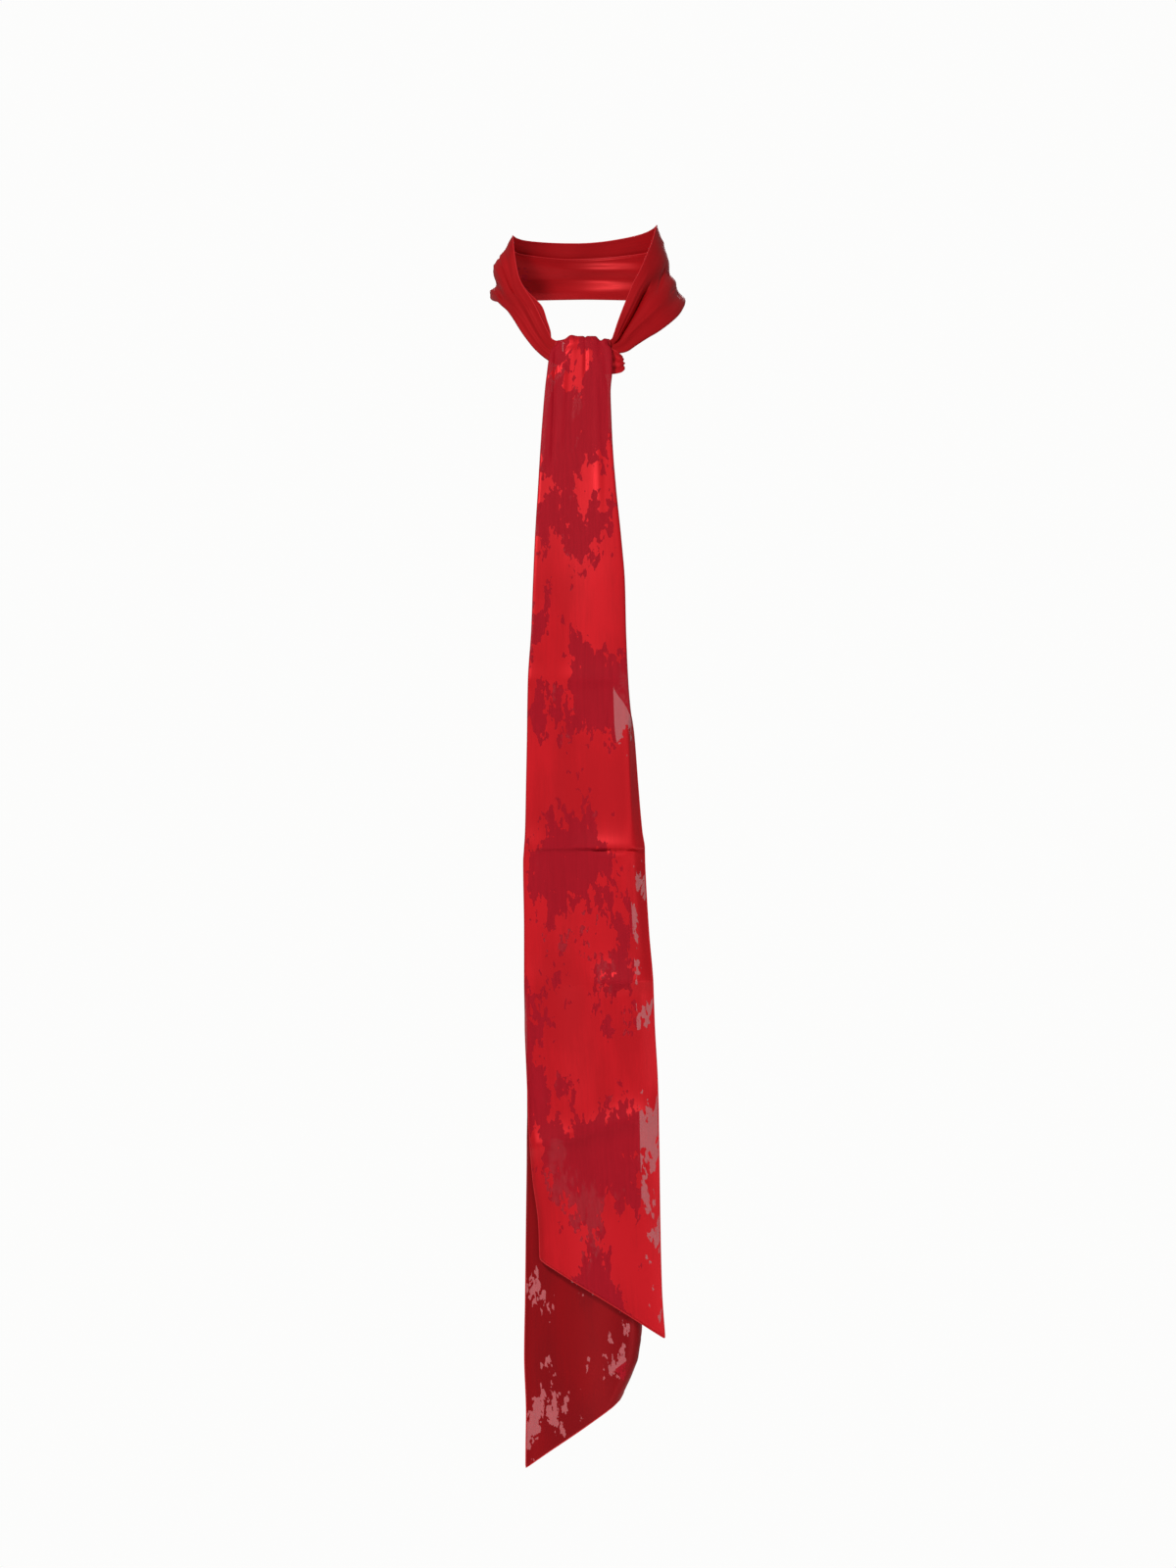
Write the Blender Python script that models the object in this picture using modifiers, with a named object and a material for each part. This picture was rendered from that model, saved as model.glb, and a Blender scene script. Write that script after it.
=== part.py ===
"""A narrow silk stole, tied once at the throat, in the shape that it keeps round a neck.

Metres, +Z up, front towards -Y. The origin is the middle of the neck opening.
The tables below are in millimetres and degrees, one row for each cross section of the cloth.
"""

import bpy
import numpy as np

MM = 0.001

# Driving sizes
WALL = 1.2 * MM
SEAM = 0.3 * MM
FOLD_LENGTH = 4.8
BAND_LAYER_GAP = 2.8
SILK_RED = (0.58, 0.013, 0.02, 1.0)
SILK_ROUGHNESS = 0.42

# How many steps across the cloth each fold, tail and band is made in
FOLD_STEPS = 3
MIDDLE_STEPS = 8
BAND_STEPS = 10
INNER_STEPS = 4
HEM_STEPS = 3


def table(columns, rows):
    """Gives the named columns of a table of rows."""
    values = np.array(rows, dtype=float)
    return dict(zip(columns.split(), values.T))


# The loop round the neck, from the hidden end of the right stretch, round the nape, to that of the left.
# top and low are the upper and lower edges. The cloth is folded lengthwise: an outer layer, a fold along
# the lower edge, and an inner layer that rises to the share "inner" of the height. bulge pushes the middle
# of the outer layer out. fold_1 and fold_2 are lengthwise troughs, at a share of the height from the top.
LOOP = table(
    "top_x top_y top_z low_x low_y low_z inner bulge at_1 fold_1 at_2 fold_2",
    (
        (12.3, -87.0, -66.5, 12.3, -90.0, -84.0, 0.60, 0.0, 0.40, 0.4, 0.75, 0.2),
        (22.5, -86.0, -64.5, 25.0, -88.8, -77.0, 0.60, 0.2, 0.38, 0.8, 0.75, 0.3),
        (25.5, -78.5, -58.0, 36.8, -85.0, -73.5, 0.70, 1.0, 0.35, 2.2, 0.75, 0.8),
        (28.2, -71.5, -49.0, 45.0, -79.5, -67.5, 0.80, 1.6, 0.31, 3.4, 0.75, 1.0),
        (31.9, -64.0, -38.0, 54.5, -73.0, -60.5, 0.85, 2.2, 0.30, 4.2, 0.75, 1.0),
        (37.1, -57.0, -24.0, 65.0, -65.0, -53.5, 0.85, 2.6, 0.30, 4.5, 0.75, 1.0),
        (42.4, -50.0, -10.0, 75.5, -55.5, -44.7, 0.85, 3.0, 0.30, 4.5, 0.76, 1.2),
        (48.6, -42.0, 2.5, 83.5, -44.0, -36.0, 0.85, 2.8, 0.34, 4.0, 0.78, 1.8),
        (54.8, -32.0, 18.0, 88.5, -30.0, -27.0, 0.82, 1.6, 0.42, 3.8, 0.80, 2.6),
        (60.5, -20.0, 34.0, 90.5, -14.0, -20.0, 0.80, 0.4, 0.52, 3.6, 0.83, 3.4),
        (63.4, -7.0, 47.0, 90.5, 4.0, -16.5, 0.78, -0.6, 0.62, 3.8, 0.84, 3.6),
        (64.4, 8.0, 51.0, 88.0, 20.0, -14.5, 0.76, -0.2, 0.62, 3.4, 0.84, 3.4),
        (62.6, 22.5, 51.0, 82.5, 36.0, -13.0, 0.74, 0.8, 0.60, 3.0, 0.83, 2.8),
        (56.5, 36.5, 49.5, 72.5, 49.5, -11.0, 0.72, 1.8, 0.57, 2.8, 0.82, 2.4),
        (46.0, 49.0, 48.0, 58.0, 61.0, -9.0, 0.72, 2.4, 0.54, 2.8, 0.82, 2.2),
        (32.0, 58.0, 46.5, 39.5, 68.5, -7.5, 0.72, 2.6, 0.50, 3.2, 0.83, 2.2),
        (16.0, 64.0, 45.0, 19.5, 73.0, -6.5, 0.72, 2.6, 0.48, 3.4, 0.84, 2.4),
        (0.0, 66.0, 44.0, 0.0, 75.0, -6.0, 0.72, 2.6, 0.46, 3.0, 0.84, 2.6),
        (-16.0, 64.0, 43.5, -19.5, 73.0, -6.5, 0.72, 2.8, 0.44, 2.6, 0.84, 2.6),
        (-32.0, 58.0, 43.0, -39.0, 68.0, -7.5, 0.74, 3.0, 0.40, 2.2, 0.85, 2.6),
        (-45.0, 49.0, 42.5, -56.5, 60.0, -9.0, 0.76, 3.6, 0.36, 1.8, 0.86, 2.6),
        (-56.0, 37.0, 42.0, -70.5, 48.5, -11.0, 0.78, 4.4, 0.32, 1.4, 0.87, 3.0),
        (-62.5, 23.0, 42.0, -79.5, 35.0, -13.5, 0.80, 4.4, 0.26, 1.6, 0.87, 3.4),
        (-64.6, 8.0, 41.5, -84.4, 19.0, -15.5, 0.82, 5.6, 0.24, 1.8, 0.87, 4.4),
        (-64.6, -5.0, 38.5, -85.2, 3.0, -17.0, 0.84, 6.4, 0.22, 1.8, 0.87, 5.0),
        (-63.8, -14.0, 28.0, -83.6, -11.0, -18.0, 0.86, 5.8, 0.24, 1.8, 0.86, 4.4),
        (-62.0, -22.0, 14.0, -79.5, -24.0, -21.0, 0.90, 4.0, 0.28, 1.8, 0.84, 3.0),
        (-58.6, -31.0, -2.0, -74.8, -35.5, -26.5, 0.96, 2.8, 0.32, 1.8, 0.80, 2.0),
        (-52.8, -40.5, -14.5, -68.8, -45.5, -33.0, 1.04, 2.2, 0.34, 1.6, 0.76, 1.4),
        (-46.8, -48.5, -24.5, -63.0, -54.0, -42.0, 1.14, 1.8, 0.36, 1.4, 0.72, 1.2),
        (-42.0, -54.5, -34.0, -57.5, -61.5, -51.5, 1.24, 1.6, 0.38, 1.4, 0.70, 1.2),
        (-37.2, -61.5, -45.0, -51.3, -69.0, -61.0, 1.20, 1.4, 0.40, 1.4, 0.70, 1.2),
        (-32.2, -69.5, -55.5, -43.2, -77.5, -71.6, 1.10, 1.0, 0.42, 1.2, 0.70, 1.0),
        (-28.5, -77.5, -63.0, -32.8, -87.0, -81.4, 0.80, 0.6, 0.42, 0.8, 0.70, 0.8),
        (-19.8, -88.5, -67.0, -19.8, -92.5, -88.5, 0.60, 0.2, 0.42, 0.5, 0.70, 0.4),
    ),
)
LOOP_END = len(LOOP["inner"]) - 1
NAPE_FROM_ROW = 13
NAPE_TO_ROW = 21
NAPE_ROW_LENGTH = 11.0
SIDE_ROWS = 20
NAPE_ROWS = 10

# Share of a band's height that a trough takes, and the step along a band over which its slope is read
TROUGH_WIDTH = 0.11
SLOPE_STEP = 0.05

# The crossing that the left stretch makes under the front tail, round the right side and back behind it
WRAP = table(
    "top_x top_y top_z low_x low_y low_z bulge at_1 fold_1 at_2 fold_2",
    (
        (-18.9, -89.2, -69.0, -18.9, -93.0, -89.0, 0.2, 0.30, 0.4, 0.65, 0.4),
        (0.0, -91.5, -70.0, 2.0, -96.0, -94.0, 0.4, 0.30, 0.6, 0.65, 0.6),
        (16.0, -91.5, -71.5, 18.0, -95.7, -95.2, 0.6, 0.32, 0.8, 0.68, 0.8),
        (24.5, -90.7, -73.5, 26.2, -94.7, -94.6, 0.9, 0.34, 1.2, 0.70, 1.2),
        (29.8, -89.4, -77.0, 31.6, -92.4, -93.0, 1.2, 0.36, 1.4, 0.72, 1.4),
        (32.6, -86.0, -79.2, 34.4, -88.8, -90.0, 1.4, 0.38, 1.2, 0.72, 1.2),
        (29.8, -83.2, -77.8, 31.4, -86.0, -91.5, 0.8, 0.38, 0.6, 0.72, 0.6),
        (24.0, -81.9, -74.5, 25.6, -85.0, -93.0, 0.4, 0.38, 0.4, 0.72, 0.4),
        (12.0, -81.2, -72.2, 13.0, -85.0, -93.0, 0.2, 0.38, 0.4, 0.72, 0.4),
        (-14.0, -81.2, -72.2, -14.0, -85.0, -93.0, 0.0, 0.38, 0.4, 0.72, 0.4),
    ),
)
WRAP_END = len(WRAP["bulge"]) - 1
WRAP_ROWS = 24

# The front tail below the knot. left and right are its edges as seen from the front, depth is its Y.
# Beyond each edge a margin of the cloth is turned behind, through the angle beside it.
# drop lowers the right side of the row, for the slanting end.
FRONT_TAIL = table(
    "height depth left right left_margin left_angle right_margin right_angle right_bend drop",
    (
        (-69.0, -96.5, -25.5, 21.4, 2.0, 60, 2.0, 60, 4.8, 0),
        (-75.0, -99.0, -29.8, 23.2, 4.0, 165, 4.0, 165, 4.8, 0),
        (-81.0, -100.2, -31.2, 23.6, 9.0, 180, 9.0, 180, 4.8, 0),
        (-92.0, -102.2, -32.6, 23.6, 17.0, 180, 17.0, 180, 4.8, 0),
        (-112.0, -106.7, -34.8, 22.1, 23.5, 180, 23.5, 180, 4.8, 0),
        (-130.0, -111.5, -36.2, 22.6, 23.0, 180, 22.5, 180, 4.8, 0),
        (-160.0, -120.5, -38.2, 23.8, 21.5, 180, 21.5, 180, 4.8, 0),
        (-200.0, -131.0, -40.4, 26.9, 19.0, 179, 19.5, 179, 4.8, 0),
        (-240.0, -139.0, -42.7, 30.9, 16.0, 178, 17.0, 178, 4.8, 0),
        (-280.0, -144.5, -44.3, 34.1, 14.0, 177, 14.5, 177, 4.8, 0),
        (-320.0, -147.5, -45.8, 35.0, 12.5, 176, 14.0, 176, 4.8, 0),
        (-362.0, -149.0, -48.5, 36.8, 10.0, 176, 12.0, 172, 4.8, 0),
        (-385.0, -149.3, -49.0, 38.6, 9.5, 176, 11.5, 104, 4.8, 0),
        (-409.0, -149.6, -49.3, 41.8, 9.0, 176, 11.0, 72, 4.8, 0),
        (-451.0, -149.8, -50.1, 45.1, 8.0, 175, 10.5, 60, 4.8, 0),
        (-493.0, -150.0, -51.0, 48.8, 6.5, 175, 9.5, 50, 4.8, 0),
        (-505.5, -150.0, -51.8, 50.7, 5.5, 174, 9.0, 44, 4.8, 0),
        (-518.0, -150.0, -52.6, 51.0, 5.0, 170, 8.5, 40, 5.5, 0),
        (-577.0, -150.0, -51.8, 54.3, 3.5, 150, 7.0, 32, 7.0, 0),
        (-618.0, -150.0, -51.8, 57.7, 2.5, 120, 6.0, 22, 8.0, 0),
        (-660.0, -150.0, -51.0, 59.3, 2.0, 90, 5.0, 14, 9.0, 0),
        (-702.0, -150.0, -49.3, 61.8, 2.0, 62, 5.0, 10, 10.0, 4),
        (-744.0, -150.0, -47.6, 62.9, 2.0, 50, 5.0, 8, 10.0, 14),
        (-785.0, -150.0, -44.7, 63.7, 2.5, 46, 5.0, 8, 10.0, 32),
        (-827.0, -150.0, -39.4, 65.2, 3.0, 42, 5.0, 8, 10.0, 54),
        (-856.5, -150.0, -38.4, 68.1, 3.0, 40, 5.0, 6, 10.0, 67),
    ),
)
FRONT_SPACING = 36.0

# Where the front tail comes up from behind the crossing and falls over its top
CREST_Y = -88.5
CREST_Z = -69.0
CREST_RADIUS = 8.0
CREST_START_Z = -71.9
CREST_LEFT = -22.5
CREST_RIGHT = 20.6
CREST_START_LEFT = -16.0
CREST_START_RIGHT = 16.5
CREST_STEPS = 8
CREST_SCALLOPS = table(
    "across drop",
    ((-22.5, 4.4), (-18.0, 3.2), (-12.0, -0.4), (-6.0, 0.6), (-1.5, 0.5), (0.0, 1.6), (2.0, 0.5),
     (9.0, 0.6), (13.7, 4.6), (17.0, 2.6), (20.6, 3.2)),
)
SCALLOP_SHARE_BEHIND = 0.3
PLEAT_SHARE = 0.55
PLEAT_FADE = 28.0

# The back tail, which comes down inside the crossing and hangs behind the front one
BACK_TAIL = table(
    "height depth left right left_margin left_angle right_margin right_angle right_bend drop",
    (
        (-71.5, -87.6, -15.6, 11.4, 2.0, 30, 2.0, 30, 4.8, 0),
        (-84.0, -89.5, -15.6, 11.4, 2.0, 40, 2.0, 30, 4.8, 0),
        (-92.0, -90.9, -17.0, 14.0, 2.5, 60, 2.5, 60, 4.8, 0),
        (-98.0, -92.4, -22.0, 18.0, 4.0, 110, 4.0, 110, 4.8, 0),
        (-106.0, -95.0, -27.0, 19.5, 8.0, 150, 8.0, 150, 4.8, 0),
        (-122.0, -100.4, -31.5, 19.8, 17.0, 176, 17.0, 176, 4.8, 0),
        (-160.0, -112.4, -34.5, 21.0, 21.5, 178, 21.5, 178, 4.8, 0),
        (-200.0, -123.5, -37.5, 24.0, 20.0, 178, 20.0, 178, 4.8, 0),
        (-240.0, -131.8, -40.0, 26.5, 18.5, 177, 18.5, 177, 4.8, 0),
        (-284.0, -137.4, -42.3, 27.0, 16.5, 177, 17.5, 177, 4.8, 0),
        (-362.0, -141.2, -46.0, 24.0, 17.0, 176, 17.5, 176, 4.8, 0),
        (-400.0, -141.8, -47.3, 25.0, 15.5, 176, 17.0, 176, 4.8, 0),
        (-440.0, -142.0, -48.5, 31.0, 12.0, 176, 13.5, 176, 4.8, 0),
        (-505.5, -142.0, -50.1, 36.5, 8.0, 174, 10.5, 174, 4.8, 0),
        (-618.0, -142.0, -50.1, 42.6, 4.0, 160, 8.0, 160, 4.8, 0),
        (-700.0, -142.0, -49.4, 45.4, 3.0, 120, 5.5, 130, 5.0, 0),
        (-752.0, -142.0, -49.3, 46.8, 2.0, 90, 5.0, 100, 6.0, 0),
        (-830.0, -142.0, -50.1, 48.2, 2.0, 60, 5.0, 80, 7.0, 0),
        (-890.0, -142.0, -50.8, 48.6, 2.0, 45, 6.0, 74, 10.0, -4),
        (-940.0, -142.0, -51.6, 48.6, 2.0, 40, 7.0, 84, 16.0, -24),
        (-990.0, -142.0, -50.0, 45.6, 2.0, 34, 7.0, 100, 22.0, -52),
        (-1012.0, -142.0, -50.3, 41.0, 2.0, 32, 7.0, 112, 28.0, -64),
        (-1036.0, -142.0, -50.5, 33.5, 2.0, 30, 8.0, 125, 36.0, -78),
    ),
)
BACK_SPACING = 48.0

# Crosswise storage creases of both tails: height, how far they stand out, and their reach up and down
CREASES = table(
    "height depth above below",
    ((-362.0, 1.4, 16.0, 9.0), (-505.5, 2.6, 24.0, 3.0), (-628.0, 1.1, 14.0, 12.0)),
)
CREASE_FALL = 3.0

# Soft lengthwise waves of the hanging cloth: how deep, how wide, and where they begin and are full
WAVE_DEPTH = 1.6
WAVE_SPAN = 74.0
WAVE_DRIFT = 0.006
WAVE_FROM = -150.0
WAVE_FULL = -420.0


def smooth_value(values, place):
    """Reads a column between its rows on a curve that passes through every row."""
    last = len(values) - 1
    row = int(min(max(np.floor(place), 0), last - 1))
    part = place - row
    before = values[max(row - 1, 0)]
    start = values[row]
    end = values[row + 1]
    after = values[min(row + 2, last)]
    slope_in = (end - before) / 2
    slope_out = (after - start) / 2
    square = part * part
    cube = square * part
    return (
        (2 * cube - 3 * square + 1) * start
        + (cube - 2 * square + part) * slope_in
        + (3 * square - 2 * cube) * end
        + (cube - square) * slope_out
    )


def smooth_row(rows, place):
    """Reads every column of a table at one place between its rows."""
    return {name: smooth_value(values, place) for name, values in rows.items()}


def row_at_height(rows, height):
    """Reads every column of a tail's table at one height."""
    upwards = -rows["height"]
    return {name: float(np.interp(-height, upwards, values)) for name, values in rows.items()}


def edge_points(row):
    """Gives the upper and lower edge of one row of a band."""
    top = np.array((row["top_x"], row["top_y"], row["top_z"]))
    low = np.array((row["low_x"], row["low_y"], row["low_z"]))
    return top, low


def trough(share, at, depth):
    """A soft lengthwise trough across a band, negative where it sinks in."""
    return -depth * np.exp(-(((share - at) / TROUGH_WIDTH) ** 2))


def outer_offset(row, share):
    """How far the outer layer stands out from the straight line between its edges."""
    offset = row["bulge"] * np.sin(np.pi * share)
    offset = offset + trough(share, row["at_1"], row["fold_1"])
    return offset + trough(share, row["at_2"], row["fold_2"])


def band_frame(rows, place):
    """Gives the edges of a band at a place along it, and the direction out of its face."""
    top, low = edge_points(smooth_row(rows, place))
    last = len(rows["bulge"]) - 1
    earlier = sum(edge_points(smooth_row(rows, max(place - SLOPE_STEP, 0))))
    later = sum(edge_points(smooth_row(rows, min(place + SLOPE_STEP, last))))
    outward = np.cross(low - top, later - earlier)
    return top, low, outward / np.linalg.norm(outward)


def single_band_row(rows, place):
    """One row of points of a band of one layer, from its upper to its lower edge."""
    row = smooth_row(rows, place)
    top, low, outward = band_frame(rows, place)
    shares = np.linspace(0, 1, BAND_STEPS + 1)
    return [top + (low - top) * share + outward * outer_offset(row, share) for share in shares]


def folded_band_row(rows, place):
    """One row of points of a band folded along its lower edge, from the inner to the outer upper edge."""
    row = smooth_row(rows, place)
    top, low, outward = band_frame(rows, place)
    height = np.linalg.norm(low - top)
    down = (low - top) / height
    hem_radius = BAND_LAYER_GAP / 2
    straight = height - hem_radius
    hem_share = straight / height
    hem_offset = outer_offset(row, hem_share)
    hem_centre = top + down * straight + outward * (hem_offset - hem_radius)
    points = []
    for share in np.linspace(1 - row["inner"], hem_share, INNER_STEPS + 1)[:-1]:
        follow = outer_offset(row, min(max(share, 0), 1))
        points.append(top + down * height * share + outward * (follow - BAND_LAYER_GAP))
    for angle in np.linspace(-np.pi / 2, np.pi / 2, HEM_STEPS + 1)[:-1]:
        points.append(hem_centre + hem_radius * (down * np.cos(angle) + outward * np.sin(angle)))
    for share in np.linspace(hem_share, 0, BAND_STEPS + 1):
        points.append(top + down * height * share + outward * outer_offset(row, share))
    return points


def band_grid(rows, places, row_maker):
    """Points of a whole band, a row for each place along it."""
    return np.array([row_maker(rows, place) for place in places])


def margin_points(start, turn, bend_length, margin, side):
    """Points of one turned margin, from the edge of the flat middle outwards. side is -1 left, 1 right."""
    stretches = [(turn * (step + 0.5) / FOLD_STEPS, bend_length / FOLD_STEPS) for step in range(FOLD_STEPS)]
    stretches.append((turn, margin))
    across = start
    behind = 0.0
    points = []
    for heading, length in stretches:
        across += side * length * np.cos(heading)
        behind += length * np.sin(heading)
        points.append((across, behind))
    return points


def margin_reach(turn, bend_length, margin):
    """How far a turned margin reaches past the flat middle, seen from the front."""
    return max(point[0] for point in margin_points(0.0, turn, bend_length, margin, 1))


def tail_section(row):
    """Across and behind for each point of a tail's cross section, from the left edge to the right."""
    left_turn = np.radians(row["left_angle"])
    right_turn = np.radians(row["right_angle"])
    left = row["left"] + margin_reach(left_turn, FOLD_LENGTH, row["left_margin"])
    right = row["right"] - margin_reach(right_turn, row["right_bend"], row["right_margin"])
    left_part = margin_points(left, left_turn, FOLD_LENGTH, row["left_margin"], -1)
    right_part = margin_points(right, right_turn, row["right_bend"], row["right_margin"], 1)
    middle = [(across, 0.0) for across in np.linspace(left, right, MIDDLE_STEPS + 1)]
    return np.array(left_part[::-1] + middle + right_part)


def cloth_share(section):
    """Share of the cloth's width at each point of a cross section."""
    lengths = np.linalg.norm(np.diff(section, axis=0), axis=1)
    travelled = np.concatenate(((0.0,), np.cumsum(lengths)))
    return travelled / travelled[-1]


def crease_stand(height):
    """How far the crosswise creases push a tail forward at a height."""
    stand = 0.0
    for crest, depth, above, below in zip(*CREASES.values()):
        reach = above if height > crest else below
        stand += depth * np.exp(-CREASE_FALL * ((height - crest) / reach) ** 2)
    return stand


def wave_stand(across, height):
    """Soft lengthwise waves that grow as the cloth hangs free."""
    growth = np.clip((height - WAVE_FROM) / (WAVE_FULL - WAVE_FROM), 0, 1)
    return WAVE_DEPTH * growth * np.cos(2 * np.pi * across / WAVE_SPAN + WAVE_DRIFT * height)


def row_heights(rows, spacing):
    """Heights at which a tail gets a row of points: its table's, the creases', and some between."""
    marks = list(rows["height"])
    for crest, _, above, below in zip(*CREASES.values()):
        marks += [crest + above / 2, crest, crest - below / 2]
    marks = sorted(set(marks), reverse=True)
    marks = [mark for mark in marks if rows["height"][-1] <= mark <= rows["height"][0]]
    heights = marks[:1]
    for upper, lower in zip(marks, marks[1:]):
        steps = int(np.ceil((upper - lower) / spacing))
        heights += list(np.linspace(upper, lower, steps + 1)[1:])
    return heights


def hanging_row(rows, height):
    """One row of points of a hanging tail."""
    row = row_at_height(rows, height)
    section = tail_section(row)
    shares = cloth_share(section)
    points = []
    for (across, behind), share in zip(section, shares):
        level = height - row["drop"] * share
        stand = crease_stand(level) + wave_stand(across, level)
        points.append((across, row["depth"] + behind - stand, level))
    return np.array(points)


def scallop(across):
    """How far the gathers lower the top of the front tail at one place across it."""
    return np.interp(across, CREST_SCALLOPS["across"], CREST_SCALLOPS["drop"])


def crest_row(angle, start_share):
    """One row of points where the front tail falls over the crossing. angle 0 is behind, pi in front."""
    row = row_at_height(FRONT_TAIL, CREST_Z)
    front_share = angle / np.pi
    row["left"] = np.interp(front_share, (0, 0.5, 1), (CREST_START_LEFT, CREST_LEFT, row["left"]))
    row["right"] = np.interp(front_share, (0, 0.5, 1), (CREST_START_RIGHT, CREST_RIGHT, row["right"]))
    points = []
    for across, behind in tail_section(row):
        full = SCALLOP_SHARE_BEHIND + (1 - SCALLOP_SHARE_BEHIND) * np.sin(angle)
        lowered = scallop(across) * full * (1 - start_share)
        radius = CREST_RADIUS - behind
        depth = CREST_Y + radius * np.cos(angle)
        height = CREST_Z + (CREST_RADIUS - lowered) * np.sin(angle)
        height += (CREST_START_Z - CREST_Z) * start_share
        points.append((across, depth + pleat(across, height) * front_share, height))
    return points


def pleat(across, height):
    """How far the gathers of the knot sink into the front tail, fading downwards."""
    fade = np.clip(1 - (CREST_Z + CREST_RADIUS - height) / PLEAT_FADE, 0, 1)
    return max(scallop(across), 0) * PLEAT_SHARE * fade


def front_tail_grid():
    """Points of the front tail, from behind the crossing, over its top, and down to the slanting end."""
    grid = [crest_row(0.0, 1.0)]
    grid += [crest_row(angle, 0.0) for angle in np.linspace(0, np.pi, CREST_STEPS + 1)]
    for level in row_heights(FRONT_TAIL, FRONT_SPACING)[1:]:
        points = hanging_row(FRONT_TAIL, level)
        points[:, 1] += [pleat(across, height) for across, _, height in points]
        grid.append(points)
    return np.array(grid)


def back_tail_grid():
    """Points of the back tail, from inside the crossing to the slanting end."""
    return np.array([hanging_row(BACK_TAIL, level) for level in row_heights(BACK_TAIL, BACK_SPACING)])


def silk(name, tint):
    """The red silk of one piece."""
    material = bpy.data.materials.new(name)
    material.use_nodes = True
    surface = material.node_tree.nodes["Principled BSDF"]
    surface.inputs["Base Color"].default_value = tuple(channel * tint for channel in SILK_RED[:3]) + (1.0,)
    surface.inputs["Roughness"].default_value = SILK_ROUGHNESS
    surface.inputs["Metallic"].default_value = 0.0
    return material


def cloth_wall(name, grid, tint, collection):
    """Makes one closed wall of cloth from a grid of points in millimetres."""
    rows, columns, _ = grid.shape
    faces = []
    for row in range(rows - 1):
        for column in range(columns - 1):
            corner = row * columns + column
            faces.append((corner, corner + 1, corner + columns + 1, corner + columns))
    mesh = bpy.data.meshes.new(name)
    mesh.from_pydata((grid.reshape(-1, 3) * MM).tolist(), [], faces)
    mesh.materials.append(silk(name + "_silk", tint))
    mesh.shade_smooth()
    cloth = bpy.data.objects.new(name, mesh)
    collection.objects.link(cloth)
    wall = cloth.modifiers.new("wall", "SOLIDIFY")
    wall.thickness = WALL
    wall.offset = 0.0
    wall.use_even_offset = True
    wall.use_quality_normals = True
    return cloth


def loop_places(first, last, steps):
    """Places along the loop from one row to another, half a seam short of a row that it shares."""
    half_seam = SEAM / MM / 2 / NAPE_ROW_LENGTH
    start = first + half_seam if first > 0 else first
    end = last - half_seam if last < LOOP_END else last
    return np.linspace(start, end, steps + 1)


def build():
    """Builds the six stretches of the stole."""
    for item in list(bpy.data.objects):
        bpy.data.objects.remove(item, do_unlink=True)
    collection = bpy.data.collections.new("knotted_stole")
    bpy.context.scene.collection.children.link(collection)
    right = band_grid(LOOP, loop_places(0, NAPE_FROM_ROW, SIDE_ROWS), folded_band_row)
    nape = band_grid(LOOP, loop_places(NAPE_FROM_ROW, NAPE_TO_ROW, NAPE_ROWS), folded_band_row)
    left = band_grid(LOOP, loop_places(NAPE_TO_ROW, LOOP_END, SIDE_ROWS), folded_band_row)
    wrap = band_grid(WRAP, np.linspace(0, WRAP_END, WRAP_ROWS), single_band_row)
    cloth_wall("neck_right", right, 1.0, collection)
    cloth_wall("neck_back", nape, 0.9, collection)
    cloth_wall("neck_left", left, 1.0, collection)
    cloth_wall("knot_wrap", wrap, 0.8, collection)
    cloth_wall("front_tail", front_tail_grid(), 1.0, collection)
    cloth_wall("back_tail", back_tail_grid(), 0.85, collection)


build()
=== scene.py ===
"""The looks of a narrow silk stole: red satin, partly burnt out to a sheer ground, tied once at the throat.

Metres, +Z up, front towards -Y. The tables are in millimetres and degrees, one row for each cross section
of the cloth. Every stretch of cloth is a thin shell on the form of the solid that it stands for.
"""

import bpy
import numpy as np
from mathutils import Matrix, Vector
from mathutils import noise


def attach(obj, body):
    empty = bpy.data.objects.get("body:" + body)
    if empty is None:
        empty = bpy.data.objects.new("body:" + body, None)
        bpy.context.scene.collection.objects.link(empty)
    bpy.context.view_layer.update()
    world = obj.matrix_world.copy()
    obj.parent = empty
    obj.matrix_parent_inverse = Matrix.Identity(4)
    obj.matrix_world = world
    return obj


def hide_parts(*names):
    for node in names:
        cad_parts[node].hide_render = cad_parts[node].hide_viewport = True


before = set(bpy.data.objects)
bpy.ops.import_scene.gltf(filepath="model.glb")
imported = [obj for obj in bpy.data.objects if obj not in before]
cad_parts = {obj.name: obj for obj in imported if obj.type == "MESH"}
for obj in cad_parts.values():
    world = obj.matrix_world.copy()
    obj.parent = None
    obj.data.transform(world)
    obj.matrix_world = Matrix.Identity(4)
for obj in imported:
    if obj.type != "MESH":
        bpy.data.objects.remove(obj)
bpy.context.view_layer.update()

MM = 0.001

# The cloth: its width, the length that a turned margin's fold takes, and the gap between a band's layers
CLOTH_WIDTH = 114.0
CLOTH_THICKNESS = 0.35 * MM
FOLD_LENGTH = 4.8
BAND_LAYER_GAP = 2.8

# How wide the lengthwise troughs of a band are, as a share of its height
TROUGH_WIDTH = 0.11

# How far to either side of a place, in rows, the direction of a band is read
SLOPE_STEP = 0.05

# How finely the cloth is made
ROW_SPACING = 3.0
FOLD_ROW_SPACING = 0.6
FOLD_ROW_REACH = 9.0
MIDDLE_STEPS = 44
FOLD_STEPS = 5
MARGIN_STEPS = 7
CREST_STEPS = 26
LOOP_STEPS = 300
OUTER_STEPS = 72
INNER_STEPS = 16
TURN_STEPS = 6
WRAP_STEPS = 90
WRAP_ACROSS = 34


def table(columns, rows):
    """Gives the named columns of a table of rows."""
    values = np.array(rows, dtype=float)
    return dict(zip(columns.split(), values.T))


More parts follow.
